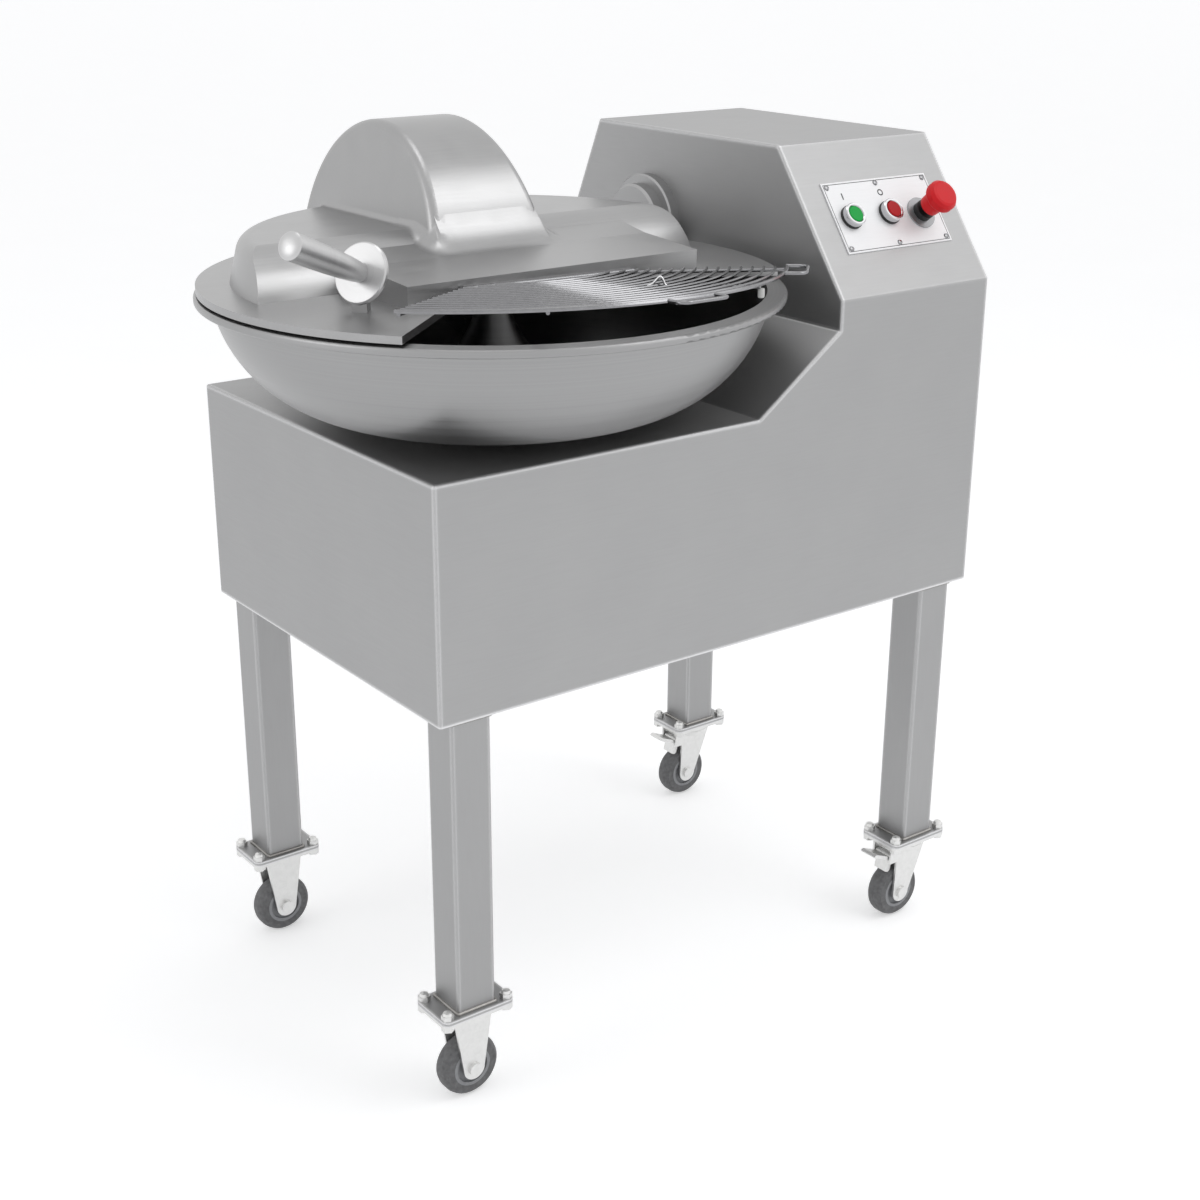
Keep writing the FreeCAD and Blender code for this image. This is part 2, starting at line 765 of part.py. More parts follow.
def worm_wheel():
    # Toothed wheel with slightly slanted teeth, driven by the worm
    outer = wheel_pitch_radius + worm_module - tooth_clearance
    root = wheel_pitch_radius - worm_module - tooth_clearance
    half = wheel_face / 2
    slant = worm_lead / (2 * math.pi * worm_pitch_radius)
    twist = math.degrees(half * slant / wheel_pitch_radius)
    flank = math.tan(math.radians(gear_pressure_angle))
    pitch_half = worm_lead / 4 - worm_backlash / 2
    root_half = pitch_half + (wheel_pitch_radius - root) * flank
    tip_half = pitch_half - (outer - wheel_pitch_radius) * flank
    solids = [rod(Vec(bowl_x, bowl_y, gear_z - half), Z_AXIS, root, wheel_face)]
    for k in range(wheel_teeth):
        wires = []
        for z, turn in ((-half, -twist), (half, twist)):
            points = [(root - 1, -root_half), (outer, -tip_half), (outer, tip_half), (root - 1, root_half)]
            corners = [Vec(r, t, gear_z + z) for r, t in points]
            wire = Part.makePolygon(corners + [corners[0]])
            wire.rotate(Vec(0, 0, 0), Z_AXIS, turn + 360.0 * k / wheel_teeth - 90)
            wire.translate(bowl_centre)
            wires.append(wire)
        solids.append(Part.makeLoft(wires, True, True))
    wheel = join(solids)
    return wheel.cut(rod(Vec(bowl_x, bowl_y, gear_z - 50), Z_AXIS, spindle_radius, 100))


def worm_shaft():
    # Shaft with a single thread under the wheel, running on to its pulley
    flank = math.tan(math.radians(gear_pressure_angle))
    root = worm_pitch_radius - worm_module - tooth_clearance
    outer = worm_pitch_radius + worm_module - tooth_clearance
    pitch_half = worm_lead / 4 - worm_backlash / 2
    root_half = pitch_half + (worm_pitch_radius - root) * flank
    tip_half = pitch_half - (outer - worm_pitch_radius) * flank
    length = worm_turns * worm_lead
    helix = Part.makeHelix(worm_lead, length, root)
    corners = [Vec(root - 1, 0, -root_half), Vec(outer, 0, -tip_half), Vec(outer, 0, tip_half),
               Vec(root - 1, 0, root_half)]
    profile = Part.makePolygon(corners + [corners[0]])
    thread = Part.Wire(helix.Edges).makePipeShell([profile], True, True)
    core = rod(Vec(0, 0, -8), Z_AXIS, root, length + 16)
    worm = join([core, thread])
    worm.rotate(Vec(0, 0, 0), Y_AXIS, 90)
    worm.translate(Vec(bowl_x - length / 2, worm_y, gear_z))
    # The phase puts a thread gap at the wheel's nearest tooth
    worm.rotate(Vec(bowl_x, worm_y, gear_z), X_AXIS, worm_phase)
    left = bowl_x - gearcase_half_length() + gearcase_wall / 2
    shaft = rod(Vec(left, worm_y, gear_z), X_AXIS, worm_shaft_radius, worm_shaft_end_x() - left)
    return join([worm, shaft])


def worm_shaft_end_x():
    return bowl_belt_x + pulley_thick / 2 + shaft_stub


def gearcase_half_length():
    return wheel_pitch_radius + worm_module + gearcase_gap + gearcase_wall


def gearbox_housing():
    half_x = gearcase_half_length()
    y_back = bowl_y + half_x
    worm_room = worm_pitch_radius + worm_module + gearcase_gap
    y_front = worm_y - worm_room - gearcase_wall
    z0 = gear_z - gearcase_height / 2
    z1 = gear_z + gearcase_height / 2
    case = box(bowl_x - half_x, bowl_x + half_x, y_front, y_back, z0, z1)
    corners = [e for e in case.Edges if e.BoundBox.ZLength > gearcase_height / 2]
    case = case.makeFillet(18, corners)
    deck_under = deck_z - sheet
    neck = rod(Vec(bowl_x, bowl_y, z1), Z_AXIS, neck_radius, deck_under - z1)
    top_flange = rod(Vec(bowl_x, bowl_y, deck_under - 8), Z_AXIS, neck_radius + 24, 8)
    ribs = []
    for k in range(4):
        rib = prism_y([(neck_radius - 2, z1), (half_x - 14, z1), (neck_radius + 18, deck_under - 8),
                       (neck_radius - 2, deck_under - 8)], -4, 4)
        rib.rotate(Vec(0, 0, 0), Z_AXIS, 90 * k)
        rib.translate(bowl_centre)
        ribs.append(rib)
    nose = rod(Vec(bowl_x + half_x, worm_y, gear_z), X_AXIS, worm_shaft_radius + 14, 14)
    body = join([case, neck, top_flange, nose] + ribs)
    wheel_room = rod(Vec(bowl_x, bowl_y, z0 + gearcase_wall), Z_AXIS,
                     wheel_pitch_radius + worm_module + gearcase_gap, gearcase_height - 2 * gearcase_wall)
    worm_tunnel = rod(Vec(bowl_x - half_x + gearcase_wall, worm_y, gear_z), X_AXIS, worm_room,
                      2 * (half_x - gearcase_wall))
    spindle_bore = rod(Vec(bowl_x, bowl_y, z0 - 1), Z_AXIS, spindle_radius + running_play,
                       deck_under - z0 + 2)
    worm_bore = rod(Vec(bowl_x - half_x + gearcase_wall / 2, worm_y, gear_z), X_AXIS,
                    worm_shaft_radius + running_play, 2 * half_x + 40)
    body = body.cut(Part.makeCompound([wheel_room.fuse(worm_tunnel)]))
    return body.cut(spindle_bore).cut(worm_bore)


def bearing_housing():
    # Flanged sleeve in the console wall with a plain bush at each end
    boss_x = console_wall_x - bearing_flange_thick - bearing_boss_length
    flange_x = console_wall_x - bearing_flange_thick
    end_x = bearing_sleeve_end
    boss = turned([(0, boss_x), (bearing_boss_radius - 3, boss_x), (bearing_boss_radius, boss_x + 3),
                   (bearing_boss_radius, flange_x), (bearing_flange_radius - 2, flange_x),
                   (bearing_flange_radius, flange_x + 2), (bearing_flange_radius, console_wall_x),
                   (bearing_sleeve_radius, console_wall_x), (bearing_sleeve_radius, end_x), (0, end_x)],
                  Vec(0, knife_y, knife_z), X_AXIS)
    bore = rod(Vec(boss_x - 1, knife_y, knife_z), X_AXIS, shaft_radius + running_play, end_x - boss_x + 2)
    relief = rod(Vec(boss_x + bearing_bush_length, knife_y, knife_z), X_AXIS, shaft_radius + 5,
                 end_x - boss_x - 2 * bearing_bush_length)
    return boss.cut(bore).cut(relief)


def knife_stack_end():
    return first_knife_x + knife_count * knife_thick + (knife_count - 1) * knife_spacer


def knife_shaft():
    # Shaft with a shoulder behind the knives, spacers between them and a stub for the nut
    centre = Vec(0, knife_y, knife_z)
    end_x = knife_belt_x + pulley_thick / 2 + shaft_stub
    start = first_knife_x - knife_nut_length
    body = rod(centre + X_AXIS * start, X_AXIS, shaft_radius, end_x - start)
    stack_end = knife_stack_end()
    taper_start = stack_end + knife_shoulder_length
    taper_end = taper_start + knife_shoulder_taper
    shoulder = turned([(0, stack_end), (knife_hub_radius, stack_end), (knife_hub_radius, taper_start),
                       (shaft_radius, taper_end), (0, taper_end)], centre, X_AXIS)
    spacers = []
    for k in range(knife_count - 1):
        x = first_knife_x + (k + 1) * knife_thick + k * knife_spacer
        spacers.append(rod(centre + X_AXIS * x, X_AXIS, knife_hub_radius, knife_spacer))
    return join([body, shoulder] + spacers)


def around(radius, angle):
    # Point in a plane across X, with the angle counted from +Y towards +Z
    return Vec(0, radius * math.cos(math.radians(angle)), radius * math.sin(math.radians(angle)))


def knife_blade(index):
    # Sickle blade: round hub, curved back and a curved cutting edge that meets it at the tip
    x = first_knife_x + index * (knife_thick + knife_spacer)
    hub = knife_hub_radius
    tip = around(knife_radius, knife_tip_angle)
    heel = around(hub, -20)
    root = around(hub, 190)
    back = around(knife_radius * 0.74, 57)
    edge = around(knife_radius * 0.49, 122)
    outline = Part.Wire([arc(heel, back, tip), arc(tip, edge, root), line(root, heel)])
    blade = Part.Face(outline).extrude(Vec(knife_thick, 0, 0))
    disc = rod(Vec(0, 0, 0), X_AXIS, hub, knife_thick)
    shape = join([disc, blade]).cut(rod(Vec(-1, 0, 0), X_AXIS, shaft_radius, knife_thick + 2))
    shape.rotate(Vec(0, 0, 0), X_AXIS, 360.0 * index / knife_count)
    shape.translate(Vec(x, knife_y, knife_z))
    return shape


def knife_nut():
    x = first_knife_x - knife_nut_length
    centre = Vec(x, knife_y, knife_z)
    nut = hexagon(centre, X_AXIS, knife_nut_radius * 1.8, knife_nut_length)
    washer = rod(centre + X_AXIS * (knife_nut_length - 3), X_AXIS, knife_hub_radius, 3)
    return join([nut, washer]).cut(rod(centre - X_AXIS, X_AXIS, shaft_radius, knife_nut_length + 2))


def groove_cut(centre, radius, x):
    # Ring cut for a wedge belt; the radius is that of the belt's outer face
    top = belt_width / 2 + belt_play
    low = belt_width / 2 - belt_thick * 0.3 + belt_play
    depth = radius - belt_thick - belt_play
    rim = radius + 1.5
    return turned([(depth, x - low), (depth, x + low), (rim, x + top + 0.4), (rim, x - top - 0.4)],
                  centre, X_AXIS)


def pulley(centre, radius, grooves, bore):
    low = min(grooves) - pulley_thick / 2
    high = max(grooves) + pulley_thick / 2
    body = rod(centre + X_AXIS * low, X_AXIS, radius + 1, high - low)
    web = radius - belt_thick - 10
    if web > bore + 14:
        recess = turned([(bore + 9, high - 5), (web, high - 5), (web, high + 1), (bore + 9, high + 1)],
                        centre, X_AXIS)
        body = body.cut(recess)
    for x in grooves:
        body = body.cut(groove_cut(centre, radius, x))
    return body.cut(rod(centre + X_AXIS * (low - 1), X_AXIS, bore, high - low + 2))


def belt_path(first, first_radius, second, second_radius):
    # Open belt line round two wheels in a plane across X
    gap = second - first
    distance = gap.Length
    along = gap.normalize()
    across = X_AXIS.cross(along)
    lean = (first_radius - second_radius) / distance
    side = math.sqrt(1 - lean * lean)
    up = along * lean + across * side
    down = along * lean - across * side
    a1 = first + up * first_radius
    a2 = first + down * first_radius
    b1 = second + up * second_radius
    b2 = second + down * second_radius
    return Part.Wire([arc(a2, first - along * first_radius, a1), line(a1, b1),
                      arc(b1, second + along * second_radius, b2), line(b2, a2)])


def belt(first, first_radius, second, second_radius, x):
    # Wedge section swept round the line of the belt's outer face
    a = Vec(x, first.y, first.z)
    b = Vec(x, second.y, second.z)
    top = belt_width / 2
    low = top - belt_thick * 0.3
    path = belt_path(a, first_radius, b, second_radius)
    start = path.Edges[1].valueAt(path.Edges[1].FirstParameter)
    outward = (start - a).normalize()
    corners = [start + X_AXIS * top, start + X_AXIS * low - outward * belt_thick,
               start - X_AXIS * low - outward * belt_thick, start - X_AXIS * top]
    ordered = Part.Wire([path.Edges[1], path.Edges[2], path.Edges[3], path.Edges[0]])
    profile = Part.makePolygon(corners + [corners[0]])
    return ordered.makePipeShell([profile], True, False)


def motor_body():
    centre = Vec(0, motor_y, motor_z)
    back_x = motor_front_x - motor_length
    rear_ring = back_x + motor_rear_ring
    front_ring = motor_front_x - motor_front_ring
    inner = motor_radius - fin_height
    body = turned([(0, back_x), (motor_radius - 2 - motor_edge, back_x), (motor_radius - 2, back_x + motor_edge),
                   (motor_radius - 2, rear_ring), (inner, rear_ring + motor_ring_taper),
                   (inner, front_ring - motor_ring_taper), (motor_radius, front_ring),
                   (motor_radius, motor_front_x - motor_edge), (motor_nose_radius, motor_front_x),
                   (0, motor_front_x)], centre, X_AXIS)
    fins = []
    for k in range(motor_fins):
        angle = 360.0 * k / motor_fins
        if 60 < angle < 120:
            continue
        fin = box(rear_ring + motor_ring_taper + 2, front_ring - motor_ring_taper - 2,
                  motor_y - fin_thick / 2, motor_y + fin_thick / 2, motor_z + inner - 2,
                  motor_z + motor_radius - 1)
        fin.rotate(centre, X_AXIS, angle + 90)
        fins.append(fin)
    feet = []
    for side in (-1, 1):
        for x in (back_x + motor_foot_back, motor_front_x - motor_foot_front):
            y0 = motor_y + side * motor_foot_spread
            half = motor_foot_half_width
            web_z = base_top_z + motor_foot_rise + 6
            foot = prism_x([(y0 - half, base_top_z), (y0 + half, base_top_z),
                            (y0 + half, base_top_z + motor_foot_rise), (y0 + 4, web_z),
                            (y0 - side * 2 + 4, motor_z - motor_nose_radius),
                            (y0 - side * 2 - 6, motor_z - motor_nose_radius), (y0 - 6, web_z)],
                           x, x + motor_foot_length)
            feet.append(foot)
    terminal = box(back_x + terminal_start, back_x + terminal_start + terminal_length,
                   motor_y - terminal_half_width, motor_y + terminal_half_width,
                   motor_z + inner - 6, motor_z + motor_radius + terminal_rise)
    body = join([body] + fins + feet + [terminal])
    return body.cut(rod(Vec(motor_front_x - motor_shaft_depth, motor_y, motor_z), X_AXIS,
                        motor_shaft_radius + running_play, motor_shaft_depth + 1))


def motor_shaft():
    start = motor_front_x - motor_shaft_depth + motor_shaft_play
    end = knife_belt_x + pulley_thick / 2 + shaft_stub
    return rod(Vec(start, motor_y, motor_z), X_AXIS, motor_shaft_radius, end - start)


def shoulder_curve(inset):
    # Top, middle and foot of the dome's front, each moved inwards by the inset
    slant = inset * math.sqrt(0.5)
    middle = Vec(0, shoulder_top_y - shoulder_bulge_run + slant, dome_top_z - shoulder_bulge_drop - slant)
    return Vec(0, shoulder_top_y, dome_top_z - inset), middle, Vec(0, shoulder_foot_y + inset, flange_top_z)


def dome_form(inset, low):
    foot = dome_foot_radius - inset
    top = dome_top_radius - inset
    body = turned([(0, low), (foot, low), (foot, flange_top_z), (top, dome_top_z - inset),
                   (0, dome_top_z - inset)], bowl_centre, Z_AXIS)
    top_edge = [e for e in body.Edges if e.BoundBox.ZMin > dome_top_z - inset - 0.5
                and e.BoundBox.XLength > top]
    body = body.makeFillet(dome_edge_radius - inset, top_edge)
    a, middle, b = shoulder_curve(inset)
    reach = dome_foot_radius + 20
    low_front = Vec(0, b.y, low - 5)
    low_back = Vec(0, bowl_y + reach, low - 5)
    top_back = Vec(0, bowl_y + reach, dome_top_z + 20)
    top_front = Vec(0, a.y, dome_top_z + 20)
    outline = Part.Wire([arc(a, middle, b), line(b, low_front), line(low_front, low_back),
                         line(low_back, top_back), line(top_back, top_front), line(top_front, a)])
    block = Part.Face(outline).extrude(Vec(2 * reach, 0, 0))
    block.translate(Vec(bowl_x - reach, 0, 0))
    return body.common(block)


def apron_form(inset, low):
    # Low front part of the cover with a folded front edge
    front = apron_front_y + inset
    fold = Vec(0, front, apron_fold_z - inset)
    back = Vec(0, shoulder_foot_y - apron_back_gap, apron_back_z - inset)
    top = Vec(0, shoulder_top_y, dome_top_z - inset)
    middle = Vec(0, (back.y + top.y) / 2, (back.z + top.z) / 2 - 1.5)
    end = Vec(0, shoulder_top_y + 40, dome_top_z - inset)
    end_low = Vec(0, end.y, low)
    front_low = Vec(0, front, low)
    outline = Part.Wire([line(front_low, fold), line(fold, back), arc(back, middle, top),
                         line(top, end), line(end, end_low), line(end_low, front_low)])
    width = apron_right_x - apron_left_x - 2 * inset
    body = Part.Face(outline).extrude(Vec(width, 0, 0))
    body.translate(Vec(apron_left_x + inset, 0, 0))
    return body


def hump_form(inset, low):
    radius = hump_radius - inset
    a = Vec(0, knife_y - radius, knife_z)
    b = Vec(0, knife_y, knife_z + radius)
    c = Vec(0, knife_y + radius, knife_z)
    d = Vec(0, knife_y + radius, low)
    e = Vec(0, knife_y - radius, low)
    arch = Part.Face(Part.Wire([arc(a, b, c), line(c, d), line(d, e), line(e, a)]))
    arch = arch.extrude(Vec(hump_left_reach + hump_right_reach + hump_radius, 0, 0))
    arch.translate(Vec(hump_foot_left_x - hump_radius / 2, 0, 0))
    rise = knife_z + hump_radius + 20 - low
    base_left = hump_foot_left_x + inset + hump_draft_left * (low - flange_top_z)
    base_right = hump_foot_right_x - inset - hump_draft_right * (low - flange_top_z)
    sides = prism_y([(base_left, low), (base_right, low), (base_right - hump_draft_right * rise, low + rise),
                     (base_left + hump_draft_left * rise, low + rise)], knife_y - 2 * radius,
                    knife_y + 2 * radius)
    body = arch.common(sides)
    curved = [e for e in body.Edges if e.BoundBox.ZMax > knife_z + 5 and e.BoundBox.YLength > 50]
    return body.makeFillet(hump_edge_radius - inset, curved)


def cover_inside(inset, low):
    return join([dome_form(inset, low), apron_form(inset, low), hump_form(inset, low)])


def cover_flange():
    disc = rod(Vec(bowl_x, bowl_y, flange_low_z), Z_AXIS, cover_flange_radius, cover_flange_thick)
    far = cover_flange_radius * 1.5
    left = math.radians(cut_left_angle)
    right = math.radians(cut_right_angle)
    wedge = prism_z([(bowl_x, bowl_y), (bowl_x + far * math.cos(left), bowl_y + far * math.sin(left)),
                     (bowl_x, bowl_y - 2 * far),
                     (bowl_x + far * math.cos(right), bowl_y + far * math.sin(right))],
                    flange_low_z - 5, flange_top_z + 5)
    return disc.cut(wedge)


def hinge_lug(x):
    half = hinge_lug_thick / 2
    root_y = bowl_y + dome_foot_radius - 4
    tip = rod(Vec(x - half, hinge_y, hinge_z), X_AXIS, hinge_lug_radius, hinge_lug_thick)
    rim_y = bowl_y + rim_radius + cover_gap
    arm = prism_x([(root_y, flange_low_z), (rim_y, flange_low_z), (hinge_y, hinge_z - hinge_lug_radius),
                   (hinge_y, hinge_z + hinge_lug_radius), (root_y, flange_top_z + 22)], x - half, x + half)
    return arm.fuse(tip)


def lug_places():
    return [bowl_x + side * hinge_lug_spacing / 2 for side in (-1, 1)]


def cover_outside(low):
    # Outer form with the hump blended into the dome and the apron
    base = join([dome_form(0.0, low), apron_form(0.0, low)])
    hump = hump_form(0.0, low)
    body = join([base, hump])
    seam = []
    for edge in body.Edges:
        spot = Part.Vertex(edge.valueAt((edge.FirstParameter + edge.LastParameter) / 2))
        on_both = all(form.Shells[0].distToShape(spot)[0] < 0.001 for form in (base, hump))
        if on_both and edge.BoundBox.ZMax > low + 1:
            seam.append(edge)
    return body.makeFillet(hump_blend_radius, seam)


def cover_casting():
    low = flange_low_z
    solid = join([cover_outside(low), cover_flange()])
    shell = solid.cut(cover_inside(cover_wall, low - 5))
    lugs = [hinge_lug(x) for x in lug_places()]
    shell = join([shell] + lugs)
    pin_hole = rod(Vec(bowl_x - hinge_lug_spacing, hinge_y, hinge_z), X_AXIS,
                   hinge_pin_radius + running_play, 2 * hinge_lug_spacing)
    reach = bowl_x + cover_flange_radius + 20
    slot = box(0, reach, knife_y - shaft_radius - shaft_slot_gap, knife_y + shaft_radius + shaft_slot_gap,
               low - 20, knife_z)
    slot = slot.fuse(rod(Vec(0, knife_y, knife_z), X_AXIS, shaft_radius + shaft_slot_gap, reach))
    return shell.cut(pin_hole).cut(slot)


def hinge_bracket():
    # Plate on the back of the housing with two arms that carry the cover's pin
    back = half_depth
    low = hinge_plate_top_z - hinge_plate_height
    half = hinge_lug_spacing / 2 + hinge_lug_thick / 2 + hinge_arm_gap + hinge_arm_thick
    plate = box(bowl_x - half, bowl_x + half, back, back + hinge_plate_thick, low, hinge_plate_top_z)
    arms = []
    for side in (-1, 1):
        x = bowl_x + side * half
        x0 = min(x, x - side * hinge_arm_thick)
        knee_z = hinge_z - hinge_arm_neck
        arm = prism_x([(back, low + hinge_arm_foot), (back + hinge_arm_foot_reach, low + hinge_arm_foot),
                       (hinge_y + hinge_lug_radius, knee_z), (hinge_y + hinge_lug_radius, hinge_z),
                       (hinge_y - hinge_lug_radius, hinge_z), (hinge_y - hinge_lug_radius, knee_z),
                       (back + hinge_plate_thick, hinge_plate_top_z), (back, hinge_plate_top_z)],
                      x0, x0 + hinge_arm_thick)
        arms.append(arm.fuse(rod(Vec(x0, hinge_y, hinge_z), X_AXIS, hinge_lug_radius, hinge_arm_thick)))
    body = join([plate] + arms)
    return body.cut(rod(Vec(bowl_x - hinge_lug_spacing, hinge_y, hinge_z), X_AXIS,
                        hinge_pin_radius, 2 * hinge_lug_spacing))


def hinge_pin():
    half = hinge_lug_spacing / 2 + hinge_lug_thick / 2 + hinge_arm_gap + hinge_arm_thick
    body = rod(Vec(bowl_x - half, hinge_y, hinge_z), X_AXIS, hinge_pin_radius, 2 * half)
    caps = [rod(Vec(bowl_x - half - 3, hinge_y, hinge_z), X_AXIS, hinge_pin_radius + 3, 3),
            rod(Vec(bowl_x + half, hinge_y, hinge_z), X_AXIS, hinge_pin_radius + 3, 3)]
    return join([body] + caps)


def handle_base():
    angle = math.radians(handle_angle)
    return Vec(bowl_x + handle_reach * math.cos(angle), bowl_y + handle_reach * math.sin(angle),
               flange_top_z)


def handle_direction():
    angle = math.radians(handle_angle)
    tilt = math.radians(handle_tilt)
    return Vec(math.cos(angle) * math.cos(tilt), math.sin(angle) * math.cos(tilt), math.sin(tilt))


def disc_centre():
    return handle_base() + Z_AXIS * handle_disc_rise


def handle_post():
    base = handle_base()
    half = handle_post_width / 2
    post = box(base.x - half, base.x + half, base.y - half, base.y + half, base.z,
               base.z + handle_post_height)
    post.rotate(base, Z_AXIS, handle_angle + handle_post_turn)
    out = handle_direction()
    front_room = rod(disc_centre() - out * handle_disc_thick, out, handle_disc_radius, handle_length)
    return post.cut(front_room)


def handle_grip():
    # Disc and bar turned in one: a waist at the disc, a full body and a crowned end
    back = -handle_disc_thick
    edge = handle_disc_edge
    rim = handle_disc_radius
    corners = [Vec(0, 0, back), Vec(rim - edge, 0, back), Vec(rim, 0, back + edge), Vec(rim, 0, -edge),
               Vec(rim - edge, 0, 0), Vec(handle_root_radius, 0, 0)]
    tip = Vec(handle_tip_radius, 0, handle_length)
    crown = Vec(0, 0, handle_length + handle_crown)
    edges = [line(a, b) for a, b in zip(corners, corners[1:])]
    edges += [bend(corners[-1], Vec(handle_tip_radius, 0, handle_waist), tip),
              bend(tip, Vec(handle_tip_radius * 0.7, 0, crown.z), crown), line(crown, corners[0])]
    grip = Part.Face(Part.Wire(edges)).revolve(Vec(0, 0, 0), Z_AXIS, 360)
    turn = FreeCAD.Rotation(Z_AXIS, handle_direction())
    grip.Placement = FreeCAD.Placement(disc_centre(), turn)
    return grip


def bowl_scraper():
    # Curved plate that hangs from the cover and follows the trough
    outer = trough_radius - scraper_gap
    inner = outer - scraper_width
    middle_angle = (scraper_start_angle + scraper_end_angle) / 2
    a, b, c = [trough_point(outer, -angle) for angle in (scraper_start_angle, middle_angle, scraper_end_angle)]
    d, e, f = [trough_point(inner, -angle) for angle in (scraper_end_angle, middle_angle, scraper_start_angle)]
    g = Vec(f.x, f.y, flange_low_z)
    h = Vec(a.x, a.y, flange_low_z)
    wire = Part.Wire([arc(a, b, c), line(c, d), arc(d, e, f), line(f, g), line(g, h), line(h, a)])
    plate = Part.Face(wire).extrude(Vec(0, scraper_thick, 0))
    plate.translate(Vec(0, -scraper_thick / 2, 0))
    plate.rotate(bowl_centre, Z_AXIS, scraper_angle)
    return plate


def guard_wire_span(radius):
    # Half angle about straight ahead that a wire of this radius covers
    slope = math.radians(guard_edge_angle)
    direction = (math.cos(slope), -math.sin(slope))
    b = -guard_apex_offset * direction[1]
    t = -b + math.sqrt(b * b - guard_apex_offset ** 2 + radius ** 2)
    x = t * direction[0]
    y = -guard_apex_offset + t * direction[1]
    back = apron_front_y - guard_skirt_gap - bowl_y
    if y > back:
        y = back
        x = math.sqrt(radius * radius - back * back)
        return math.degrees(math.atan2(x, -y))
    return math.degrees(math.atan2(x, -y) + guard_overhang / radius)


def ring_wire(radius, thick, first, last, z):
    # Part of a ring with a six-sided section, between two angles about the bowl's axis
    points = [Vec(radius + thick * math.cos(math.radians(60 * k)), 0, z + thick * math.sin(math.radians(60 * k)))
              for k in range(6)]
    ring = face_of(points).revolve(Vec(0, 0, 0), Z_AXIS, last - first)
    ring.rotate(Vec(0, 0, 0), Z_AXIS, first)
    return ring


def guard_bar(angle):
    apex = Vec(0, -guard_apex_offset, 0)
    direction = Vec(math.cos(math.radians(angle)), math.sin(math.radians(angle)), 0)
    back = apron_front_y - guard_skirt_gap - bowl_y
    start = apex + direction * ((back + guard_apex_offset) / direction.y)
    b = apex.dot(direction)
    reach = -b + math.sqrt(b * b - apex.dot(apex) + guard_rim_radius ** 2)
    end = apex + direction * reach
    z = -guard_wire_radius - guard_bar_radius + 0.5
    return rod(start + Z_AXIS * z, direction, guard_bar_radius, (end - start).Length)


def guard_loop(first, last):
    # Bent wire loop outside the rim, for a finger
    middle = math.radians((first + last) / 2)
    out = Vec(math.cos(middle), math.sin(middle), 0)
    along = Vec(-out.y, out.x, 0)
    half = guard_rim_radius * math.sin(math.radians((last - first) / 2))
    foot = out * (guard_rim_radius * math.cos(math.radians((last - first) / 2)))
    corner = loop_bend * (1 - math.sqrt(0.5))
    a = foot - along * half
    b = a + out * (loop_reach - loop_bend)
    c = a + out * loop_reach + along * loop_bend
    d = foot + along * (half - loop_bend) + out * loop_reach
    e = foot + along * half + out * (loop_reach - loop_bend)
    f = foot + along * half
    first_bend = a + out * (loop_reach - corner) + along * corner
    last_bend = f + out * (loop_reach - corner) - along * corner
    edges = [line(a, b), arc(b, first_bend, c), line(c, d), arc(d, last_bend, e), line(e, f)]
    section = Part.Wire(Part.makeCircle(guard_bar_radius, a, out))
    return Part.Wire(edges).makePipeShell([section], True, False)


def wire_guard():
    wires = []
    radius = guard_rim_radius
    thick = guard_rim_wire_radius
    while radius > guard_inner_radius:
        span = guard_wire_span(radius)
        wires.append(ring_wire(radius, thick, -90 - span, -90 + span, 0.0))
        thick = guard_wire_radius
        radius -= guard_pitch
    bars = [guard_bar(angle) for angle in guard_bar_angles]
    back = apron_front_y - guard_skirt_gap - bowl_y
    half = (-back - guard_apex_offset) / math.tan(math.radians(guard_edge_angle))
    rail = rod(Vec(-half - guard_overhang, back, -guard_wire_radius), X_AXIS, guard_rail_radius,
               2 * (half + guard_overhang))
    loops = [guard_loop(*side_loop_angles), guard_loop(*front_loop_angles)]
    guard = join(wires + bars + [rail] + loops)
    guard.rotate(Vec(0, -guard_rim_radius, 0), X_AXIS, -guard_rise)
    guard.rotate(Vec(0, 0, 0), Y_AXIS, guard_lean)
    guard.translate(Vec(bowl_x, bowl_y, guard_front_z))
    return guard


def control_plate():
    corners = [on_slope(panel_left_x, panel_low), on_slope(panel_left_x + panel_width, panel_low),
               on_slope(panel_left_x + panel_width, panel_low + panel_height),
               on_slope(panel_left_x, panel_low + panel_height)]
    plate = face_of(corners).extrude(slope_out * panel_thick)
    for x, row in ((start_x, button_row), (stop_x, button_row), (estop_x, estop_row)):
        plate = plate.cut(rod(on_slope(x, row, -5), slope_out, cap_radius + 1.3, 10))
    return plate


def on_panel(profile, x, row):
    centre = on_slope(x, row, panel_thick)
    body = turned(profile, centre, Z_AXIS)
    body.rotate(centre, Z_AXIS.cross(slope_out), math.degrees(Z_AXIS.getAngle(slope_out)))
    return body


def bezel(x):
    inner = cap_radius + cap_play
    return on_panel([(inner, -8), (inner + 0.7, -8), (inner + 0.7, 0), (bezel_foot_radius, 0),
                     (bezel_foot_radius, bezel_foot_height), (bezel_radius, bezel_foot_height),
                     (bezel_radius, bezel_height - 1), (bezel_radius - 1, bezel_height),
                     (inner + 1, bezel_height), (inner, bezel_height - 1)], x, button_row)


def push_button(x, proud):
    return on_panel([(0, -contact_gap()), (button_stem_radius, -contact_gap()), (button_stem_radius, 0),
                     (cap_radius, 0), (cap_radius, bezel_height - 1 + proud),
                     (cap_radius - 1, bezel_height + proud), (0, bezel_height + proud)], x, button_row)


def contact_gap():
    return panel_thick + sheet + 12.0


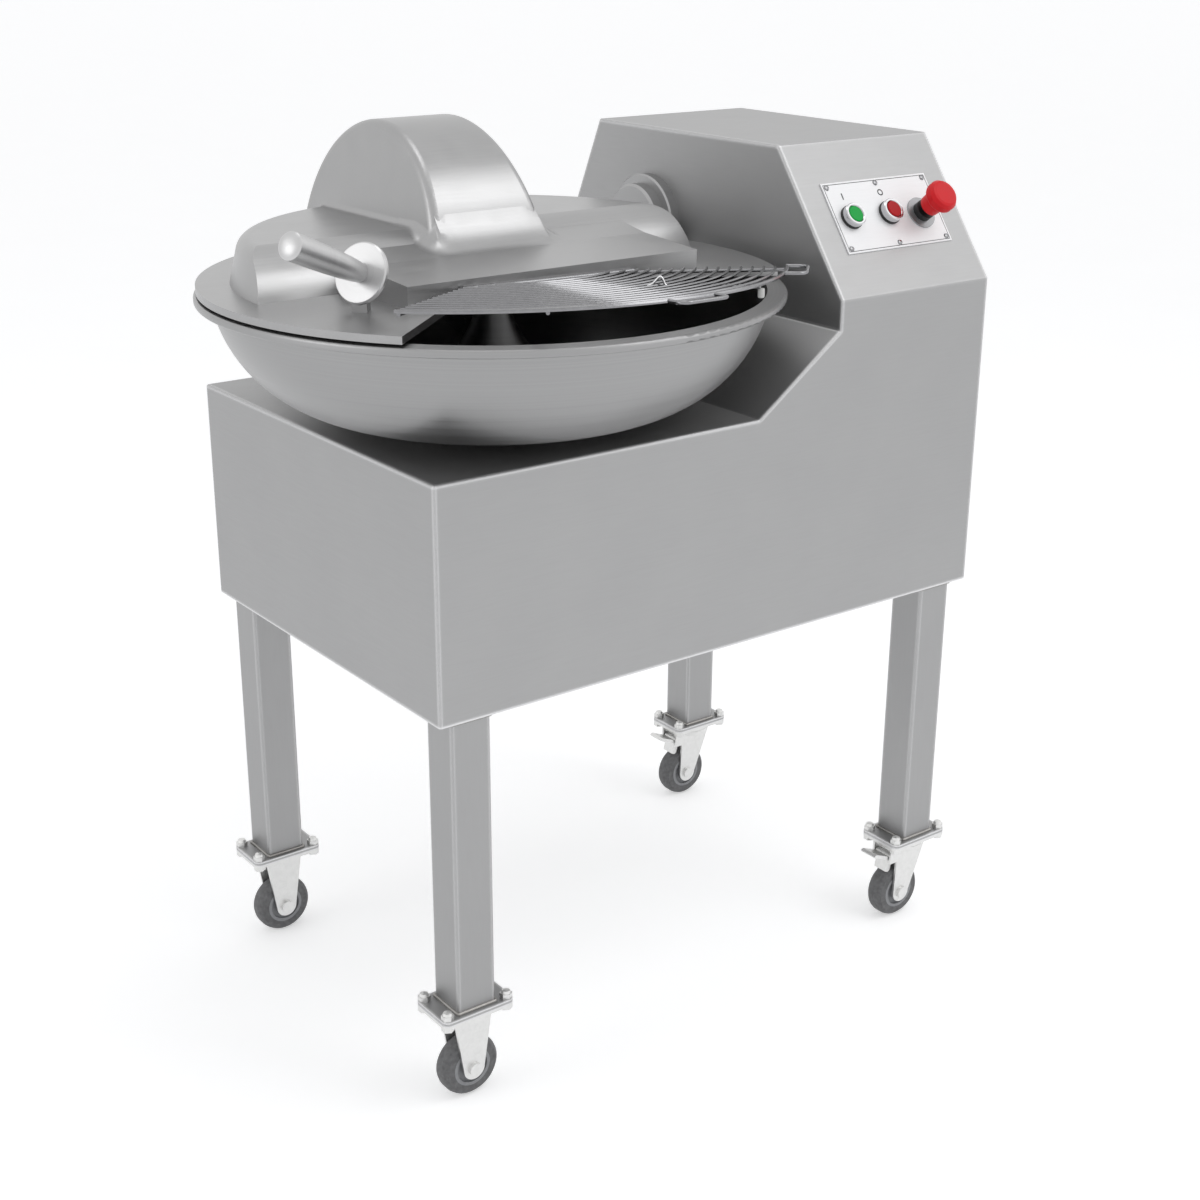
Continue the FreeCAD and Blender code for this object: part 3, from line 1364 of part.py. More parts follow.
def estop_bezel():
    inner = estop_stem_radius + running_play + 0.2
    return on_panel([(inner, -8), (cap_radius + 1, -8), (cap_radius + 1, 0), (estop_ring_radius, 0),
                     (estop_ring_radius, estop_ring_height), (estop_collar_radius, estop_ring_height),
                     (estop_collar_radius, estop_collar_height), (inner, estop_collar_height)],
                    estop_x, estop_row)


def estop_head_foot():
    # Underside of the head: the stem's flange clears the collar when pressed home
    return estop_collar_height + estop_travel + estop_flange_thick + estop_gap


def estop_stem():
    foot = estop_head_foot()
    return on_panel([(0, -contact_gap()), (estop_stem_radius, -contact_gap()),
                     (estop_stem_radius, foot - estop_flange_thick),
                     (estop_stem_radius + 3, foot - estop_flange_thick),
                     (estop_stem_radius + 3, foot), (estop_stem_radius - 1, foot),
                     (estop_stem_radius - 1, foot + 16), (0, foot + 16)], estop_x, estop_row)


def estop_head():
    foot = estop_head_foot() + 0.3
    bore = estop_stem_radius - 1 + running_play
    top = foot + estop_neck_height + estop_head_height
    return on_panel([(bore, foot), (estop_neck_radius, foot), (estop_neck_radius + 1, foot + estop_neck_height - 4),
                     (estop_head_radius - 1, foot + estop_neck_height),
                     (estop_head_radius, foot + estop_neck_height + 2), (estop_head_radius, top - 5),
                     (estop_head_radius - 3, top - 1), (estop_head_radius - 6, top), (0, top),
                     (0, foot + 16.3), (bore, foot + 16.3)], estop_x, estop_row)


def contact_blocks():
    # Switch blocks clipped behind the plate, one under each button
    blocks = []
    half = contact_block_size / 2
    for x, row, travel in ((start_x, button_row, button_travel), (stop_x, button_row, button_travel),
                           (estop_x, estop_row, estop_travel)):
        lift = panel_thick - contact_gap() - travel - 0.5
        corners = [on_slope(x - half, row - half, lift), on_slope(x + half, row - half, lift),
                   on_slope(x + half, row + half, lift), on_slope(x - half, row + half, lift)]
        block = face_of(corners).extrude(slope_out * -contact_block_depth)
        clamp = face_of(corners).extrude(slope_out * (-sheet - lift))
        clamp = clamp.cut(rod(on_slope(x, row, lift - 1), slope_out, cap_radius + 1.3, 30))
        blocks.append(block.fuse(clamp))
    return Part.makeCompound(blocks)


def supply_gland():
    # Cord gland: body through the sheet, clamping nut with a bore
    start = Vec(gland_x, half_depth, gland_z)
    body = turned([(gland_bore_radius, -sheet - 10), (gland_radius - 3, -sheet - 10), (gland_radius - 3, 0),
                   (gland_radius, 0), (gland_radius, gland_length * 0.4),
                   (gland_radius - 2, gland_length - 2), (gland_radius - 4, gland_length),
                   (gland_bore_radius, gland_length)], start, Y_AXIS)
    inner_nut = hexagon(start - Y_AXIS * (sheet + 6), Y_AXIS, gland_radius * 2.2, 6)
    inner_nut = inner_nut.cut(rod(start - Y_AXIS * 20, Y_AXIS, gland_radius - 3, 40))
    return join([body, inner_nut])


os.makedirs("parts", exist_ok=True)

save("cabinet_shell", cabinet_shell())
save("base_plate", base_plate())
save("service_panel", service_panel())
save("housing_screws", housing_screws())
for end, leg_x in (("left", left_leg_x), ("right", right_leg_x)):
    for side, y in (("front", -leg_y), ("rear", leg_y)):
        save("leg_" + side + "_" + end, leg(leg_x, y))
save("castor_fasteners", castor_fasteners())
for side, y in (("front", -leg_y), ("rear", leg_y)):
    save("rigid_fork_" + side, rigid_fork(left_leg_x, y))
    save("rigid_tyre_" + side, tyre(left_leg_x, y))
    save("rigid_hub_" + side, wheel_hub(left_leg_x, y))
    save("swivel_plate_" + side, swivel_plate(right_leg_x, y))
    save("swivel_fork_" + side, swivel_fork(right_leg_x, y))
    save("swivel_tyre_" + side, tyre(right_leg_x - swivel_trail, y))
    save("swivel_hub_" + side, wheel_hub(right_leg_x - swivel_trail, y))
    save("brake_pedal_" + side, brake_pedal(right_leg_x, y))
save("bowl", bowl())
save("bowl_spindle", bowl_spindle())
save("worm_wheel", worm_wheel())
save("worm_shaft", worm_shaft())
save("gearbox_housing", gearbox_housing())
save("bearing_housing", bearing_housing())
save("knife_shaft", knife_shaft())
for index in range(knife_count):
    save("knife_blade_" + str(index + 1), knife_blade(index))
save("knife_nut", knife_nut())
knife_centre = Vec(0, knife_y, knife_z)
motor_centre = Vec(0, motor_y, motor_z)
worm_centre = Vec(0, worm_y, gear_z)
save("knife_pulley", pulley(knife_centre, knife_pulley_radius, [knife_belt_x], shaft_radius))
save("motor_pulley", pulley(motor_centre, motor_pulley_radius, [bowl_belt_x, knife_belt_x],
                            motor_shaft_radius))
save("worm_pulley", pulley(worm_centre, worm_pulley_radius, [bowl_belt_x], worm_shaft_radius))
save("knife_belt", belt(motor_centre, motor_pulley_radius, knife_centre, knife_pulley_radius, knife_belt_x))
save("bowl_belt", belt(motor_centre, motor_pulley_radius, worm_centre, worm_pulley_radius, bowl_belt_x))
save("motor_body", motor_body())
save("motor_shaft", motor_shaft())
save("cover_casting", cover_casting())
save("hinge_bracket", hinge_bracket())
save("hinge_pin", hinge_pin())
save("handle_post", handle_post())
save("handle_grip", handle_grip())
save("bowl_scraper", bowl_scraper())
save("wire_guard", wire_guard())
save("control_plate", control_plate())
save("start_bezel", bezel(start_x))
save("stop_bezel", bezel(stop_x))
save("estop_bezel", estop_bezel())
save("start_button", push_button(start_x, 0.0))
save("stop_button", push_button(stop_x, 1.0))
save("estop_stem", estop_stem())
save("estop_head", estop_head())
save("contact_blocks", contact_blocks())
save("supply_gland", supply_gland())
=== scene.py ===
import math

import bmesh
import bpy
from mathutils import Matrix, Vector
from mathutils.bvhtree import BVHTree


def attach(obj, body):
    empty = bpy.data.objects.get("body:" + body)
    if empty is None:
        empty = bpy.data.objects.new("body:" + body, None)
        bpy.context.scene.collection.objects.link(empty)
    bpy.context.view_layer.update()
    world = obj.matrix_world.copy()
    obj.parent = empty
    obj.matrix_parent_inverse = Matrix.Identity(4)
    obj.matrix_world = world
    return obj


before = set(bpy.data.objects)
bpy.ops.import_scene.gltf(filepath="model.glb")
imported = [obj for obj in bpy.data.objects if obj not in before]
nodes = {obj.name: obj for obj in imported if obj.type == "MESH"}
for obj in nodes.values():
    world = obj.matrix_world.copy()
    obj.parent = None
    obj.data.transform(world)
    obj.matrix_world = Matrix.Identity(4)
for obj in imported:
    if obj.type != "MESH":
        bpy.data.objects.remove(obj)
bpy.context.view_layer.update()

# The studio. A wide pale floor that runs out of sight, with a white surround and broad
# soft lamps: two overhead, which draw the light streaks on the wires and on the turned
# metal, and three weaker ones at the front, the right and the left.
MM = 0.001


def linear(hex_code):
    # Linear light values of an sRGB hex colour
    parts = [int(hex_code[i:i + 2], 16) / 255 for i in (1, 3, 5)]
    return [*(c / 12.92 if c <= 0.04045 else ((c + 0.055) / 1.055) ** 2.4 for c in parts), 1.0]


def add(tree, kind, inputs=None, **settings):
    # One shader node with its settings; an input is a value or another node's output
    made = tree.nodes.new(kind)
    for name, value in settings.items():
        setattr(made, name, value)
    for name, value in (inputs or {}).items():
        if isinstance(value, bpy.types.NodeSocket):
            tree.links.new(value, made.inputs[name])
        else:
            made.inputs[name].default_value = value
    return made


def object_noise(tree, size, detail, **settings):
    # Noise in the piece's own place, with patches of about this size
    place = add(tree, "ShaderNodeTexCoord")
    inputs = {"Vector": place.outputs["Object"], "Scale": 1 / size, "Detail": detail, **settings}
    return add(tree, "ShaderNodeTexNoise", inputs).outputs[0]


def between(tree, share, deep, light):
    # A colour between two sRGB hex colours
    return add(tree, "ShaderNodeMix", {0: share, 6: linear(deep), 7: linear(light)},
               data_type="RGBA").outputs[2]


def uneven(tree, pattern, roughness, spread):
    # Roughness that follows a pattern, by the spread to either side
    return add(tree, "ShaderNodeMapRange",
               {"Value": pattern, "From Min": 0.3, "From Max": 0.7,
                "To Min": roughness - spread, "To Max": roughness + spread}).outputs[0]


def bumped(tree, pattern, strength, height):
    return add(tree, "ShaderNodeBump", {"Height": pattern, "Strength": strength,
                                        "Distance": height}).outputs[0]


def blank_material(name):
    made = bpy.data.materials.new(name)
    made.use_nodes = True
    made.node_tree.nodes.clear()
    return made, made.node_tree


def surface(tree, shader):
    add(tree, "ShaderNodeOutputMaterial", {"Surface": shader.outputs[0]})


def link(piece):
    bpy.context.scene.collection.objects.link(piece)
    return piece


def aim(thing, place, target):
    thing.location = place
    thing.rotation_euler = (Vector(target) - Vector(place)).to_track_quat("-Z", "Y").to_euler()


def softbox(name, place, target, width, height, radiance):
    data = bpy.data.lights.new(name, "AREA")
    data.shape = "RECTANGLE"
    data.size, data.size_y = width, height
    data.energy = radiance * math.pi * width * height
    aim(link(bpy.data.objects.new(name, data)), place, target)


machine_top = (-0.1, -0.1, 0.95)
machine_middle = (0.0, 0.0, 0.8)
console_top = (0.25, -0.3, 0.95)
# Place, target, width, height and radiance of each lamp
softbox("lamp_over_right", (0.95, -1.35, 2.75), machine_top, 1.2, 1.2, 2.2)
softbox("lamp_over", (-0.15, 0.15, 3.30), machine_top, 1.0, 1.0, 1.6)
softbox("lamp_front", (1.7, -3.4, 1.9), machine_middle, 2.2, 1.6, 0.8)
softbox("lamp_right", (2.3, -1.25, 2.55), console_top, 1.3, 1.3, 0.7)
softbox("lamp_left", (-3.7, 0.45, 1.9), machine_middle, 2.0, 1.6, 1.5)


def seen_directly(tree):
    # One for what the camera sees, straight on, mirrored or through glass
    path = add(tree, "ShaderNodeLightPath")
    mirrored = add(tree, "ShaderNodeMath",
                   {0: path.outputs["Is Camera Ray"], 1: path.outputs["Is Glossy Ray"]},
                   operation="MAXIMUM")
    return add(tree, "ShaderNodeMath",
               {0: mirrored.outputs[0], 1: path.outputs["Is Transmission Ray"]},
               operation="MAXIMUM").outputs[0]


world = bpy.data.worlds.new("white_surround")
bpy.context.scene.world = world
world.use_nodes = True
sky = world.node_tree
sky.nodes.clear()
fill_light = add(sky, "ShaderNodeBackground", {"Color": linear("#f4f5f7"), "Strength": 0.62})
white_back = add(sky, "ShaderNodeBackground", {"Color": (1, 1, 1, 1), "Strength": 1.0})
surround = add(sky, "ShaderNodeMixShader", {0: seen_directly(sky), 1: fill_light.outputs[0],
                                            2: white_back.outputs[0]})
add(sky, "ShaderNodeOutputWorld", {"Surface": surround.outputs[0]})

# The floor's own glow is only seen, so it lights nothing and keeps the soft shadow
floor_material, tree = blank_material("studio_floor_paper")
paper_grain = add(tree, "ShaderNodeTexNoise", {"Scale": 260.0, "Detail": 3.0})
paper_tone = between(tree, paper_grain.outputs[0], "#f4f4f4", "#f8f8f8")
paper = add(tree, "ShaderNodeBsdfPrincipled", {"Base Color": paper_tone, "Roughness": 0.9})
paper_glow = add(tree, "ShaderNodeEmission", {"Color": (1, 1, 1, 1), "Strength": 0.42})
no_glow = add(tree, "ShaderNodeEmission", {"Color": (0, 0, 0, 1), "Strength": 0.0})
seen_glow = add(tree, "ShaderNodeMixShader", {0: seen_directly(tree), 1: no_glow.outputs[0],
                                              2: paper_glow.outputs[0]})
surface(tree, add(tree, "ShaderNodeAddShader", {0: paper.outputs[0], 1: seen_glow.outputs[0]}))
floor_mesh = bpy.data.meshes.new("studio_floor")
floor_half = 40.0
floor_mesh.from_pydata([(-floor_half, -floor_half, 0), (floor_half, -floor_half, 0),
                        (floor_half, floor_half, 0), (-floor_half, floor_half, 0)], [], [(0, 1, 2, 3)])
floor_mesh.materials.append(floor_material)
floor = link(bpy.data.objects.new("studio_floor", floor_mesh))

# The camera. It stands to the front left of the machine, a little above it,
# and looks down at the bowl, as the photograph does.
camera_place = Vector((-1332.0, -1784.0, 1299.0)) * MM
camera_turn = math.radians(36.84)
camera_drop = math.radians(20.61)
camera_roll = math.radians(0.30)
camera_data = bpy.data.cameras.new("camera")
camera_data.sensor_width = 36.0
camera_data.lens = 55.59
camera = link(bpy.data.objects.new("camera", camera_data))
camera.matrix_world = (Matrix.Translation(camera_place)
                       @ Matrix.Rotation(-camera_turn, 4, "Z")
                       @ Matrix.Rotation(math.pi / 2 - camera_drop, 4, "X")
                       @ Matrix.Rotation(camera_roll, 4, "Z"))
bpy.context.scene.camera = camera
bpy.context.scene.view_settings.view_transform = "Standard"

# The housing. A box of 2 mm stainless steel sheet, folded on a press brake and welded at
# its corners, with a low deck under the bowl, a ramp and a raised console. The sheet has
# a fine satin finish, so it mirrors nothing and shows one even grey.
sheet_tone = "#ababab"
sheet_tone_deep = "#a2a2a3"
# Tone and width of the highlight painted along the sheet's bends and corners
edge_highlight_tone = "#dededf"
edge_highlight_width = 6 * MM
cloud_size = 90 * MM
grain_length = 38 * MM
# Real satin grain is a tenth of this width, and wouldn't show at this distance
grain_width = 1.1 * MM


def grain_along(tree, axis, length, width, detail=3.0):
    # Noise drawn out along one axis, as a belt sander leaves it
    sizes = [width, width, width]
    sizes[axis] = length
    place = add(tree, "ShaderNodeTexCoord")
    stretched = add(tree, "ShaderNodeMapping", {"Vector": place.outputs["Object"],
                                                "Scale": [1 / size for size in sizes]})
    return add(tree, "ShaderNodeTexNoise", {"Vector": stretched.outputs[0], "Scale": 1.0,
                                            "Detail": detail, "Roughness": 0.6}).outputs[0]


def edge_highlight_mask(tree, width):
    # One along the sharp edges, fading out over the width: the mask of the highlight painted along them
    rounded = add(tree, "ShaderNodeBevel", {"Radius": width}, samples=8)
    flat = add(tree, "ShaderNodeNewGeometry")
    turned = add(tree, "ShaderNodeVectorMath", {0: rounded.outputs[0], 1: flat.outputs["Normal"]},
                 operation="DOT_PRODUCT")
    return add(tree, "ShaderNodeMapRange",
               {"Value": turned.outputs["Value"], "From Min": 0.99, "From Max": 0.92,
                "To Min": 0.0, "To Max": 1.0}).outputs[0]


def satin_steel(name, light, deep, axis, end_axis, roughness):
    # Satin stainless: even grey, soft reflection, faint grain that turns on the end faces,
    # and a painted highlight: bends and corners painted a lighter grey
    made, tree = blank_material(name)
    facing = add(tree, "ShaderNodeNewGeometry")
    facing_parts = add(tree, "ShaderNodeSeparateXYZ", {0: facing.outputs["Normal"]})
    along_part = add(tree, "ShaderNodeMath", {0: facing_parts.outputs[axis]}, operation="ABSOLUTE")
    is_end = add(tree, "ShaderNodeMath", {0: along_part.outputs[0], 1: 0.7}, operation="GREATER_THAN")
    grain = add(tree, "ShaderNodeMix", {0: is_end.outputs[0],
                                        2: grain_along(tree, axis, grain_length, grain_width),
                                        3: grain_along(tree, end_axis, grain_length, grain_width)})
    # Slow cloudiness of rolled sheet, a hand's width across
    cloud = object_noise(tree, cloud_size, 2.0)
    mottle = add(tree, "ShaderNodeMath", {0: grain.outputs[0], 1: cloud}, operation="ADD")
    halved = add(tree, "ShaderNodeMath", {0: mottle.outputs[0], 1: 0.5}, operation="MULTIPLY")
    # Painted highlight: the colour turns to a lighter grey along bends and corners
    tone = add(tree, "ShaderNodeMix", {0: edge_highlight_mask(tree, edge_highlight_width),
                                       6: between(tree, halved.outputs[0], deep, light),
                                       7: linear(edge_highlight_tone)}, data_type="RGBA")
    surface(tree, add(tree, "ShaderNodeBsdfPrincipled", {
        "Base Color": tone.outputs[2], "Metallic": 1.0,
        "Roughness": uneven(tree, grain.outputs[0], roughness, 0.05),
        "Normal": bumped(tree, grain.outputs[0], 0.12, 0.1 * MM)}))
    return made


def finish(material, *names):
    # The finish goes onto CAD pieces by name
    for name in names:
        slots = nodes[name].data.materials
        slots.clear()
        slots.append(material)


satin_sheet = satin_steel("satin_stainless_sheet", sheet_tone, sheet_tone_deep, 0, 1, 0.50)
finish(satin_sheet, "cabinet_shell", "base_plate", "service_panel", "hinge_bracket")

# The legs. Square stainless tubes with a plate welded under each, brushed lengthwise.
# A rippled bead of weld runs round each tube at the base of the housing and at its plate.
satin_tube = satin_steel("satin_stainless_tube", "#a9a9a9", "#a0a0a1", 2, 1, 0.50)
leg_half = 25.0
leg_places = {"front_left": (-358.0, -230.0), "front_right": (350.0, -230.0),
              "rear_left": (-358.0, 230.0), "rear_right": (350.0, 230.0)}
weld_heights = (124.0, 482.0)
bead_stand_off = 0.4
bead_sides = 8
bead_radius = 2.2
bead_ripple = 0.35
bead_pitch = 3.0


def mesh_piece(name, made, material, smooth=True):
    # A mesh object from a bmesh, with its finish, in metres
    mesh = bpy.data.meshes.new(name)
    bmesh.ops.recalc_face_normals(made, faces=made.faces)
    for face in made.faces:
        face.smooth = smooth
    made.to_mesh(mesh)
    made.free()
    mesh.materials.append(material)
    return link(bpy.data.objects.new(name, mesh))


def skin_rings(made, rings, closed=False):
    # Faces between rings of points in millimetres; each ring is closed on itself
    rows = [[made.verts.new(Vector(point) * MM) for point in ring] for ring in rings]
    pairs = list(zip(rows, rows[1:])) + ([(rows[-1], rows[0])] if closed else [])
    for one, other in pairs:
        for k in range(len(one)):
            n = (k + 1) % len(one)
            made.faces.new((one[k], one[n], other[n], other[k]))
    if not closed:
        made.faces.new(rows[0])
        made.faces.new(rows[-1])


def square_bead(made, x, y, z):
    # Bead round a square tube: an eight-sided section that swells at every ripple
    half = leg_half + bead_stand_off
    corners = [(-half, -half), (half, -half), (half, half), (-half, half)]
    rings = []
    steps = int(2 * half / bead_pitch) * 2
    for (ax, ay), (bx, by) in zip(corners, corners[1:] + corners[:1]):
        for k in range(steps):
            t = k / steps
            px, py = ax + (bx - ax) * t, ay + (by - ay) * t
            # A corner's section stands on the diagonal, the others square to the side
            out = (Vector((by - ay, -(bx - ax), 0)) if k else Vector((px, py, 0))).normalized()
            size = bead_radius + bead_ripple * (1 if k % 2 else -1)
            rings.append([Vector((x + px, y + py, z)) + out * (size * math.cos(turn))
                          + Vector((0, 0, size * math.sin(turn)))
                          for turn in (2 * math.pi * j / bead_sides for j in range(bead_sides))])
    skin_rings(made, rings, closed=True)


weld_tone, tree = blank_material("brushed_weld_bead")
weld_colour = between(tree, object_noise(tree, 2.5 * MM, 3.0), "#8d8a86", "#b9b8b6")
surface(tree, add(tree, "ShaderNodeBsdfPrincipled", {"Base Color": weld_colour, "Metallic": 1.0,
                                                     "Roughness": 0.42}))
beads = bmesh.new()
for place, (x, y) in leg_places.items():
    finish(satin_tube, "leg_" + place)
    for height in weld_heights:
        square_bead(beads, x, y, height)
leg_welds = mesh_piece("leg_weld_beads", beads, weld_tone)
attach(leg_welds, "frame")

# The castors. Pressed and zinc plated steel forks, plates and bolts, with a pale satin
# skin, and solid rubber tyres pressed over grey nylon hubs.


def cloudy_metal(name, light, deep, size, roughness, bump_strength):
    # Plated or cast metal: fine dull mottling with no direction
    made, tree = blank_material(name)
    mottle = object_noise(tree, size, 5.0, Roughness=0.65)
    surface(tree, add(tree, "ShaderNodeBsdfPrincipled", {
        "Base Color": between(tree, mottle, deep, light), "Metallic": 1.0,
        "Roughness": uneven(tree, mottle, roughness, 0.07),
        "Normal": bumped(tree, mottle, bump_strength, 0.2 * MM)}))
    return made


zinc_plate = cloudy_metal("zinc_plated_steel", "#eaeae9", "#cfcfce", 6 * MM, 0.40, 0.15)
finish(zinc_plate, "castor_fasteners", "rigid_fork_front", "rigid_fork_rear", "swivel_plate_front",
       "swivel_plate_rear", "swivel_fork_front", "swivel_fork_rear", "brake_pedal_front", "brake_pedal_rear")


def moulded(name, light, deep, size, roughness, bump_strength, mirror=0.5):
    # Moulded rubber or plastic: an even colour with a faint moulded texture
    made, tree = blank_material(name)
    texture = object_noise(tree, size, 4.0)
    surface(tree, add(tree, "ShaderNodeBsdfPrincipled", {
        "Base Color": between(tree, texture, deep, light),
        "Roughness": uneven(tree, texture, roughness, 0.05),
        "Normal": bumped(tree, texture, bump_strength, 0.1 * MM), "Specular IOR Level": mirror}))
    return made


# Rubber that has rolled on a dusty floor is grey, with darker mottling
tyre_rubber = moulded("scuffed_rubber_tyre", "#868687", "#434344", 5 * MM, 0.6, 0.35)
hub_nylon = moulded("grey_nylon_hub", "#a3a4a6", "#86878a", 5 * MM, 0.45, 0.1)
for side in ("front", "rear"):
    finish(tyre_rubber, "rigid_tyre_" + side, "swivel_tyre_" + side)
    finish(hub_nylon, "rigid_hub_" + side, "swivel_hub_" + side)

# The drive. Painted motor, cast iron gear case and pulleys, rubber belts and a bronze
# wheel on a steel worm, all shut in the housing.
motor_paint = moulded("grey_blue_motor_enamel", "#4a5a6c", "#3f4e5f", 4 * MM, 0.38, 0.2)
grey_iron = cloudy_metal("grey_cast_iron", "#6d6e70", "#565759", 3 * MM, 0.55, 0.4)
belt_rubber = moulded("ribbed_belt_rubber", "#222223", "#151516", 2 * MM, 0.65, 0.3)
gear_bronze = cloudy_metal("turned_bronze", "#b08a55", "#96733f", 5 * MM, 0.35, 0.1)
finish(motor_paint, "motor_body")
finish(grey_iron, "gearbox_housing", "knife_pulley", "motor_pulley", "worm_pulley")
finish(belt_rubber, "knife_belt", "bowl_belt")
finish(gear_bronze, "worm_wheel")

# The bowl. Cast aluminium, turned and polished on a lathe all over, so its grain runs
# in rings about the axis and the light lies across them in streaks.
bowl_axis = Vector((-194.0, -62.0, 0.0)) * MM
upright = Vector((0.0, 0.0, 1.0))


def turned_about(name, light, deep, axis_place, axis, ring_width, roughness, ring_bump, stretch):
    # Lathe-turned metal: rings about an axis, in tone, gloss and bump; the reflection is
    # drawn out across the rings by the stretch
    made, tree = blank_material(name)
    place = add(tree, "ShaderNodeTexCoord")
    centred = add(tree, "ShaderNodeVectorMath", {0: place.outputs["Object"], 1: axis_place},
                  operation="SUBTRACT")
    height = add(tree, "ShaderNodeVectorMath", {0: centred.outputs[0], 1: axis}, operation="DOT_PRODUCT")
    on_axis = add(tree, "ShaderNodeVectorMath", {0: axis}, operation="SCALE")
    tree.links.new(height.outputs["Value"], on_axis.inputs["Scale"])
    across = add(tree, "ShaderNodeVectorMath", {0: centred.outputs[0], 1: on_axis.outputs[0]},
                 operation="SUBTRACT")
    radius = add(tree, "ShaderNodeVectorMath", {0: across.outputs[0]}, operation="LENGTH")
    rings_at = add(tree, "ShaderNodeCombineXYZ", {0: radius.outputs["Value"], 1: height.outputs["Value"]})
    rings = add(tree, "ShaderNodeTexNoise", {"Vector": rings_at.outputs[0], "Scale": 1 / ring_width,
                                             "Detail": 4.0, "Roughness": 0.6})
    round_way = add(tree, "ShaderNodeVectorMath", {0: axis, 1: across.outputs[0]},
                    operation="CROSS_PRODUCT")
    round_unit = add(tree, "ShaderNodeVectorMath", {0: round_way.outputs[0]}, operation="NORMALIZE")
    surface(tree, add(tree, "ShaderNodeBsdfPrincipled", {
        "Base Color": between(tree, rings.outputs[0], deep, light), "Metallic": 1.0,
        "Roughness": uneven(tree, rings.outputs[0], roughness, 0.06),
        "Normal": bumped(tree, rings.outputs[0], ring_bump, 0.2 * MM),
        "Anisotropic": stretch, "Anisotropic Rotation": 0.25, "Tangent": round_unit.outputs[0]}))
    return made


turned_aluminium = turned_about("turned_aluminium_bowl", "#a8a8a8", "#929293", bowl_axis, upright,
                                2.4 * MM, 0.38, 0.25, 0.45)
finish(turned_aluminium, "bowl")

# The knives. A ground steel shaft and three sickle blades with a nut, in a cast housing
# on the console's wall.
ground_steel = cloudy_metal("ground_knife_steel", "#d2d3d6", "#bcbdc0", 8 * MM, 0.22, 0.05)
knife_axis = Vector((0.0, 98.0, 917.0)) * MM
lengthwise = Vector((1.0, 0.0, 0.0))
turned_steel = turned_about("turned_steel_shaft", "#c4c4c5", "#adadae", knife_axis, lengthwise,
                            1.6 * MM, 0.26, 0.15, 0.3)
finish(ground_steel, "knife_blade_1", "knife_blade_2", "knife_blade_3")
finish(turned_steel, "knife_shaft", "knife_nut", "bowl_spindle", "worm_shaft", "motor_shaft",
       "hinge_pin")

# The cover. An aluminium casting with a hump over the knives, linished by hand along
# its length and buffed, so the light breaks up in soft streaks. Its metal flows from
# the apron up into the hump in a wide hollow curve, widest at the front.


def buffed_casting(name, light, deep, roughness):
    # Hand-linished casting: short streaks along the machine over slow clouds
    made, tree = blank_material(name)
    streaks = grain_along(tree, 0, 60 * MM, 1.6 * MM, 4.0)
    mottle = add(tree, "ShaderNodeMix", {0: 0.4, 2: streaks, 3: object_noise(tree, 35 * MM, 3.0)})
    surface(tree, add(tree, "ShaderNodeBsdfPrincipled", {
        "Base Color": between(tree, mottle.outputs[0], deep, light), "Metallic": 1.0,
        "Roughness": uneven(tree, mottle.outputs[0], roughness, 0.06),
        "Normal": bumped(tree, streaks, 0.18, 0.15 * MM)}))
    return made


buffed_aluminium = buffed_casting("buffed_aluminium_casting", "#b0b0b0", "#9a9a9b", 0.35)
finish(buffed_aluminium, "cover_casting", "handle_post", "bearing_housing")

hump_left, hump_right = -264.0, -110.0
hump_front_y = -50.0
hump_corner = 10.0
blend_back_y = 26.0
blend_small = 8.6
blend_front_rise, blend_front_run = 40.0, 32.0
blend_side_share = 0.30
# Where the lines of sight start that find the casting's skin
over_machine = 1200.0
clear_of_hump = 90.0
# How far the curve's ends, and its hidden corner, lie under the skin
end_under = 0.08
corner_under = 0.8
casting_mesh = nodes["cover_casting"].data
casting_hit = BVHTree.FromPolygons([v.co for v in casting_mesh.vertices],
                                   [p.vertices for p in casting_mesh.polygons])


def blend_stations():
    # Places along the hump's foot: where, which way is out, and how wide the curve is there
    stations = []
    side_steps, corner_steps, front_steps = 12, 8, 10
    for k in range(side_steps):
        t = k / side_steps
        y = blend_back_y + (hump_front_y + hump_corner - blend_back_y) * t
        stations.append(((hump_left, y), (-1.0, 0.0), blend_side_share * t ** 3))
    for k in range(corner_steps):
        t = k / corner_steps
        turn = math.radians(180 + 90 * t)
        way = (math.cos(turn), math.sin(turn))
        middle = (hump_left + hump_corner, hump_front_y + hump_corner)
        stations.append(((middle[0] + hump_corner * way[0], middle[1] + hump_corner * way[1]), way,
                         blend_side_share + (1 - blend_side_share) * (3 * t ** 2 - 2 * t ** 3)))
    for k in range(front_steps + 1):
        x = hump_left + hump_corner + (hump_right - hump_left - 2 * hump_corner) * k / front_steps
        stations.append(((x, hump_front_y), (0.0, -1.0), 1.0))
    middle_x = hump_left + hump_right
    mirrored = [((middle_x - x, y), (-wx, wy), share)
                for (x, y), (wx, wy), share in stations[:side_steps + corner_steps]]
    return stations + mirrored[::-1]


def hit(origin, way):
    # Where a line of sight meets the casting, and the skin's direction there
    place, normal, _, _ = casting_hit.ray_cast(Vector(origin) * MM, Vector(way))
    return place / MM, normal


